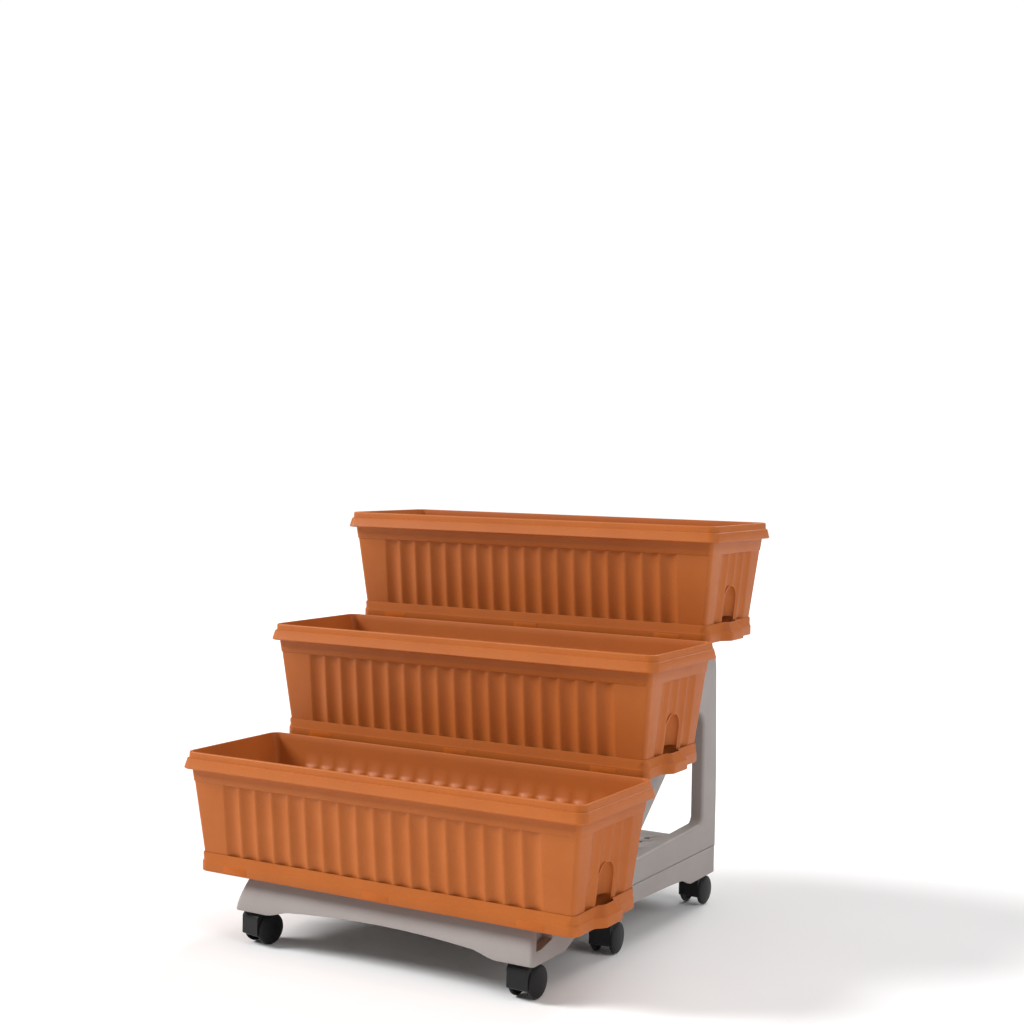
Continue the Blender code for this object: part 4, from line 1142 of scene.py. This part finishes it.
def panel_ribs(sizes):
    """Stiffening ribs in the hollow of a panel: between its window, its treads and its rear edge."""
    spans = [((-0.0650, PANEL_LOW.z + 0.003), (-0.0650, 0.2100)),
             ((0.0450, PANEL_LOW.z + 0.003), (0.0450, 0.1560)),
             ((0.1250, PANEL_LOW.z + 0.003), (0.1250, 0.1590)),
             ((0.2050, PANEL_LOW.z + 0.003), (0.2050, 0.1620)),
             ((0.3105, 0.2000), (0.3735, 0.2000)), ((0.3105, 0.2800), (0.3705, 0.2800)),
             ((0.3105, 0.3600), (0.3675, 0.3600)), ((0.1800, 0.4250), (0.3630, 0.4250)),
             ((0.0300, 0.2060), (0.0300, TREAD_TOPS[0] - 0.003))]
    ribs = []
    for (y0, z0), (y1, z1) in spans:
        if y0 == y1:
            low, high = (y0 - sizes.rib / 2, z0), (y0 + sizes.rib / 2, z1)
        else:
            low, high = (y0, z0 - sizes.rib / 2), (y1, z0 + sizes.rib / 2)
        ribs.append(block((PANEL_LOW.x + 0.006, *low), (BASE_HIGH.x - 0.003, *high)))
    return ribs


class PLANTER_OT_side_panels(bpy.types.Operator):
    """Build the two stair shaped side panels"""

    bl_idname = "planter.side_panels"
    bl_label = "Side Panels"

    def execute(self, context):
        right = panel_body(context.scene.planter_stand)
        left = mirrored(right)
        for name, mesh in (("right", right), ("left", left)):
            data = shaded(datablock(f"side_panel_{name}_mesh", mesh), finish("grey_plastic"))
            piece(f"side_panel_{name}_moulding", data, "stand", f"side_panel_{name}")
        return {"FINISHED"}


# Shelves and screws
def shelf_body(low, high, sizes, screw_places):
    """A thin slab with round edges and a downturned rim between the panels."""
    top = high.z
    under = top - sizes.shelf_thickness
    outline = [(low.x, low.y), (high.x, low.y), (high.x, high.y), (low.x, high.y)]
    rounded = fillet([(corner, 0.004) for corner in outline], 5)
    sections = [(under, 0.0005), (under + 0.0005, 0.0), (top - 0.0012, 0.0), (top - 0.0004, 0.0004),
                (top, 0.0012)]
    slab = stacked([(z, offset_outline(rounded, inset)) for z, inset in sections])
    sinks = [moved(turned([(0, -0.006), (0.0023, -0.006), (0.0023, -0.0026), (0.0046, 0.0), (0.0046, 0.004),
                           (0, 0.004)], 24), (x, y, top)) for x, y in screw_places]
    slab = carved(slab, [("DIFFERENCE", gathered(sinks))])
    half_x = PANEL_LOW.x - 0.0012
    front, rear = low.y + 0.004, high.y - 0.004
    foot = under - sizes.shelf_rim
    rim_plan = [(-half_x, front), (half_x, front), (half_x, rear), (-half_x, rear)]
    rim_plan = fillet([(corner, 0.005) for corner in rim_plan], 5)
    levels = [(under + 0.001, 0.0), (foot + 0.0008, 0.0), (foot, 0.0008), (foot, 0.0022),
              (foot + 0.0008, 0.0030), (under + 0.001, 0.0030)]
    rim = stacked([(z, offset_outline(rim_plan, inset)) for z, inset in levels], False)
    ribs = [block((x - sizes.rib / 2, front + 0.002, foot + 0.004),
                  (x + sizes.rib / 2, rear - 0.002, under + 0.001)) for x in SHELF_RIB_XS]
    return gathered([slab, rim, *ribs])


class PLANTER_OT_shelves(bpy.types.Operator):
    """Build the two shelves that carry the upper saucers"""

    bl_idname = "planter.shelves"
    bl_label = "Shelves"

    def execute(self, context):
        for shelf in ("middle", "top"):
            low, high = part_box(f"{shelf}_shelf")
            places = [screw_place(name)[0] for name in frame["nodes"]
                      if name.startswith(f"{shelf}_shelf_screw")]
            body = shelf_body(low, high, context.scene.planter_stand, places)
            data = shaded(datablock(f"{shelf}_shelf_mesh", body), finish("grey_plastic"))
            piece(f"{shelf}_shelf_moulding", data, "stand", f"{shelf}_shelf")
        return {"FINISHED"}


def screw_place(name):
    """Middle of a screw in plan, and its lowest and highest point."""
    low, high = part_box(name)
    return ((low.x + high.x) / 2, (low.y + high.y) / 2), low.z, high.z


def screw_body(span):
    """A countersunk screw with a cross recess and a threaded shank, head up, its top at zero."""
    profile = [(0, -span), (0.0010, -span + 0.0002)]
    z = -span + 0.0012
    while z < -0.0034:
        profile += [(0.0016, z), (0.0020, z + 0.0003), (0.0016, z + 0.0006)]
        z += 0.0009
    profile += [(0.0020, -0.0030), (0.0021, -0.0024), (0.0041, -0.0004), (0.0042, -0.0001), (0.0041, 0.0),
                (0, 0.0)]
    cross = []
    for turn in (0, 90):
        bar = block((-0.0021, -0.00035, -0.0012), (0.0021, 0.00035, 0.001))
        bmesh.ops.rotate(bar, matrix=Matrix.Rotation(math.radians(turn), 3, "Z"), verts=bar.verts)
        cross.append(bar)
    return carved(turned(profile, 24), [("DIFFERENCE", cross[0]), ("DIFFERENCE", cross[1])])


class PLANTER_OT_screws(bpy.types.Operator):
    """Build the screws that hold the panels and shelves"""

    bl_idname = "planter.screws"
    bl_label = "Screws"

    def execute(self, context):
        names = sorted(name for name in frame["nodes"] if "screw" in name)
        _, low, high = screw_place(names[0])
        data = shaded(datablock("screw", screw_body(high - low)), finish("zinc"))
        for name in names:
            (x, y), low, high = screw_place(name)
            upward = name.startswith("base")
            made = piece(f"{name}_threaded", data, "stand", None, (x, y, low if upward else high))
            if upward:
                made.rotation_euler.x = math.pi
                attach(made, "stand")
            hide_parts(name)
        return {"FINISHED"}


# Casters
def hood_outline(sizes):
    """Side view of the hood about the axle as (y, z): low behind, round on top, square in front."""
    points = []
    for i in range(16):
        angle = math.radians(72 * i / 15)
        points.append((sizes.hood_rear * math.cos(angle), sizes.hood_rear * math.sin(angle)))
    for i in range(5):
        angle = math.radians(74 + 16 * i / 4)
        points.append((sizes.hood_radius * math.cos(angle), sizes.hood_radius * math.sin(angle)))
    corner, front, cut = 0.0120, 0.0318, sizes.hood_cut
    for i in range(1, 10):
        angle = math.radians(90 + 90 * i / 9)
        points.append((corner - front + corner * math.cos(angle),
                       sizes.hood_radius - corner + corner * math.sin(angle)))
    return points + [(-front, cut + 0.002), (-front + 0.002, cut), (0.008, cut), (0.020, cut + 0.004)]


def hood_body(sizes):
    """Hood with round edges and a pocket for each wheel, about its stem, with the axle behind."""
    outline = hood_outline(sizes)
    half, edge = sizes.hood_half, 0.0014
    sections = []
    for k in range(4):
        angle = math.radians(90 * k / 3)
        sections.append((-half + edge * (1 - math.sin(angle)),
                         offset_outline(outline, edge * (1 - math.cos(math.pi / 2 - angle)))))
    sections += [(-x, outline_here) for x, outline_here in reversed(sections)]
    pockets = []
    for sign in (-1, 1):
        near, far = sorted((sign * sizes.web_half, sign * (half + 0.01)))
        pockets.append(drum(sizes.pocket_radius, near, far, 64, "X"))
    steps = [("DIFFERENCE", gathered(pockets)), ("DIFFERENCE", drum(0.0033, -0.03, 0.03, 24, "X"))]
    body = moved(carved(prism_x(sections), steps), (0, sizes.trail, sizes.wheel_radius))
    return carved(body, [("DIFFERENCE", drum(0.0058, 0.0437, 0.08))])


def wheel_body(sizes):
    """Wheel with a narrow rim, a domed outer face with a fine ring, and a hollow inner side."""
    radius, outer = sizes.wheel_radius - WHEEL_CLEARANCE, sizes.wheel_outer
    hub, rim = sizes.hub_radius, sizes.rim_inner
    profile = [(0, 0.0205), (0.0033, 0.0205), (0.0033, sizes.wheel_inner), (hub - 0.0004, sizes.wheel_inner),
               (hub, sizes.wheel_inner + 0.0004), (hub + 0.0006, rim + 0.0038), (hub + 0.0016, rim + 0.0046)]
    for inward, ahead in ((0.0044, 0.0046), (0.0034, 0.0038), (0.0026, 0.0002), (0.0022, 0.0),
                          (0.0008, 0.0), (0.0002, 0.0003), (0.0, 0.0010)):
        profile.append((radius - inward, rim + ahead))
    for inward, back in ((0.0, 0.0050), (0.0003, 0.0040), (0.0010, 0.0031), (0.0020, 0.0025),
                         (0.0031, 0.0021), (0.0036, 0.0023), (0.0041, 0.0019)):
        profile.append((radius - inward, outer - back))
    dome = radius - 0.0041
    for k in range(1, 13):
        across = dome * (1 - k / 12)
        profile.append((across, outer - 0.0019 * (across / dome) ** 2.2))
    return turned(profile, 64, "X")


def stem_body():
    """Plated stem with a turned groove, a flange and a pressed ring under the socket."""
    low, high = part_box("caster_rear_right_stem")
    profile = [(0, low.z), (0.0048, low.z), (0.0055, low.z + 0.0008), (0.0055, 0.0607), (0.0082, 0.0607),
               (0.0085, 0.0610), (0.0085, 0.0629), (0.0082, 0.0632), (0.0055, 0.0632), (0.0055, 0.0920),
               (0.0050, 0.0924), (0.0050, 0.0936), (0.0055, 0.0940), (0.0055, high.z - 0.0020),
               (0.0040, high.z), (0, high.z)]
    return turned(profile, 32)


def axle_body():
    """Plated axle with broken ends."""
    profile = [(0, -0.0202), (0.0025, -0.0202), (0.0030, -0.0197), (0.0030, 0.0197), (0.0025, 0.0202),
               (0, 0.0202)]
    return turned(profile, 24, "X")


class PLANTER_OT_casters(bpy.types.Operator):
    """Build the six swivel casters with their twin wheels"""

    bl_idname = "planter.casters"
    bl_label = "Casters"

    def execute(self, context):
        sizes = context.scene.planter_caster
        hood = shaded(datablock("caster_hood", hood_body(sizes)), finish("black_nylon"))
        wheel = shaded(datablock("caster_wheel", wheel_body(sizes)), finish("black_nylon"))
        stem = shaded(datablock("caster_stem", stem_body()), finish("zinc"))
        axle = shaded(datablock("caster_axle", axle_body()), finish("zinc"))
        for name, (x, y), heading, hub in caster_places():
            caster = f"caster_{name}"
            piece(f"{caster}_stem_turned", stem, "stand", f"{caster}_stem", (x, y, 0))
            piece(f"{caster}_hood_moulding", hood, f"{caster}_fork", f"{caster}_hood",
                  (x, y, 0), heading)
            piece(f"{caster}_axle_pin", axle, f"{caster}_fork", f"{caster}_axle",
                  hub, heading)
            for wheel_name, turn in (("wheel_a", heading), ("wheel_b", heading + math.pi)):
                node_name = f"{caster}_{wheel_name}"
                piece(f"{node_name}_moulding", wheel, node_name, node_name, hub, turn)
        return {"FINISHED"}


# Stage
def floor_material(tint):
    """Matt pale floor with faint clouds."""
    material, tree, shader, place = started("pale_floor")
    clouds = noise(tree, place, 2.0, 3.0)
    dim = tuple(channel * 0.985 for channel in tint)
    tree.links.new(mixed(tree, clouds, tint, dim), shader.inputs["Base Color"])
    shader.inputs["Roughness"].default_value = 0.85
    shader.inputs["Specular IOR Level"].default_value = 0.1
    return material


def far_softbox(name, heading, height, spread_angle, strength):
    """A wide soft light from far away; heading runs from the front towards the right."""
    light = bpy.data.lights.new(name, "SUN")
    light.angle = math.radians(spread_angle)
    light.energy = strength
    lamp = bpy.data.objects.new(name, light)
    bpy.context.scene.collection.objects.link(lamp)
    around, up = math.radians(heading), math.radians(height)
    place = Vector((math.sin(around) * math.cos(up), -math.cos(around) * math.cos(up), math.sin(up))) * 4
    lamp.location = place
    lamp.rotation_euler = (-place).to_track_quat("-Z", "Y").to_euler()
    return lamp


def room_world(strength):
    """Even light all round that looks plain white behind the object."""
    world = bpy.data.worlds.new("studio")
    world.use_nodes = True
    tree = world.node_tree
    tree.nodes.clear()
    output = tree.nodes.new("ShaderNodeOutputWorld")
    lit, white = (node(tree, "ShaderNodeBackground", strength=value) for value in (strength, 1.05))
    for background in (lit, white):
        background.inputs["Color"].default_value = (1.0, 1.0, 1.0, 1.0)
    ray = tree.nodes.new("ShaderNodeLightPath")
    choice = tree.nodes.new("ShaderNodeMixShader")
    tree.links.new(ray.outputs["Is Camera Ray"], choice.inputs["Fac"])
    tree.links.new(lit.outputs["Background"], choice.inputs[1])
    tree.links.new(white.outputs["Background"], choice.inputs[2])
    tree.links.new(choice.outputs["Shader"], output.inputs["Surface"])
    return world


class PLANTER_OT_stage(bpy.types.Operator):
    """Set up the pale floor, the soft light and the camera"""

    bl_idname = "planter.stage"
    bl_label = "Stage"

    def execute(self, context):
        scene = context.scene
        stage = scene.planter_stage
        floor = drum(FLOOR_RADIUS, -0.02, 0.0, 36)
        data = shaded(datablock("floor", floor), floor_material(stage.floor_colour))
        ground = bpy.data.objects.new("floor", data)
        scene.collection.objects.link(ground)
        lamps = [far_softbox("key_light", -62, 36, 22, stage.key_power),
                 far_softbox("fill_light", 78, 36, 40, stage.fill_power),
                 far_softbox("back_light", 176, 42, 30, stage.back_power),
                 far_softbox("top_light", 20, 78, 60, stage.top_power)]
        scene.world = room_world(stage.room_light)
        scene.view_settings.view_transform = "Standard"
        camera = bpy.data.objects.new("camera", bpy.data.cameras.new("camera"))
        scene.collection.objects.link(camera)
        turn = Matrix.Rotation(stage.camera_heading, 4, "Z")
        turn = turn @ Matrix.Rotation(math.radians(90) - stage.camera_pitch, 4, "X")
        turn = turn @ Matrix.Rotation(stage.camera_roll, 4, "Z")
        camera.matrix_world = Matrix.Translation(stage.camera_place) @ turn
        camera.data.lens = stage.camera_lens
        camera.data.sensor_width = SENSOR_WIDTH
        scene.camera = camera
        return {"FINISHED"}


# Panel and start
OPERATORS = (PLANTER_OT_base, PLANTER_OT_side_panels, PLANTER_OT_shelves, PLANTER_OT_screws,
             PLANTER_OT_casters, PLANTER_OT_saucers, PLANTER_OT_troughs, PLANTER_OT_stage)
GROUPS = (("planter_trough", TroughSizes), ("planter_saucer", SaucerSizes),
          ("planter_stand", StandSizes), ("planter_caster", CasterSizes),
          ("planter_finish", FinishColours), ("planter_stage", StageSettings))


class PLANTER_PT_pieces(bpy.types.Panel):
    """Lists the operators in the 3D view's sidebar"""

    bl_idname = "PLANTER_PT_pieces"
    bl_label = "Three Tier Planter"
    bl_space_type = "VIEW_3D"
    bl_region_type = "UI"
    bl_category = "Planter"

    def draw(self, context):
        for operator in OPERATORS:
            self.layout.operator(operator.bl_idname)


def register():
    """Register the property groups, the operators and the panel."""
    for name, group in GROUPS:
        bpy.utils.register_class(group)
        setattr(bpy.types.Scene, name, PointerProperty(type=group))
    for operator in OPERATORS:
        bpy.utils.register_class(operator)
    bpy.utils.register_class(PLANTER_PT_pieces)


def unregister():
    """Undo register."""
    bpy.utils.unregister_class(PLANTER_PT_pieces)
    for operator in reversed(OPERATORS):
        bpy.utils.unregister_class(operator)
    for name, group in reversed(GROUPS):
        delattr(bpy.types.Scene, name)
        bpy.utils.unregister_class(group)


def main():
    for leftover in [item for item in bpy.data.objects if item.name in ("Cube", "Light", "Camera")]:
        bpy.data.objects.remove(leftover)
    register()
    for operator in OPERATORS:
        group, name = operator.bl_idname.split(".")
        getattr(getattr(bpy.ops, group), name)()


if __name__ == "__main__":
    main()
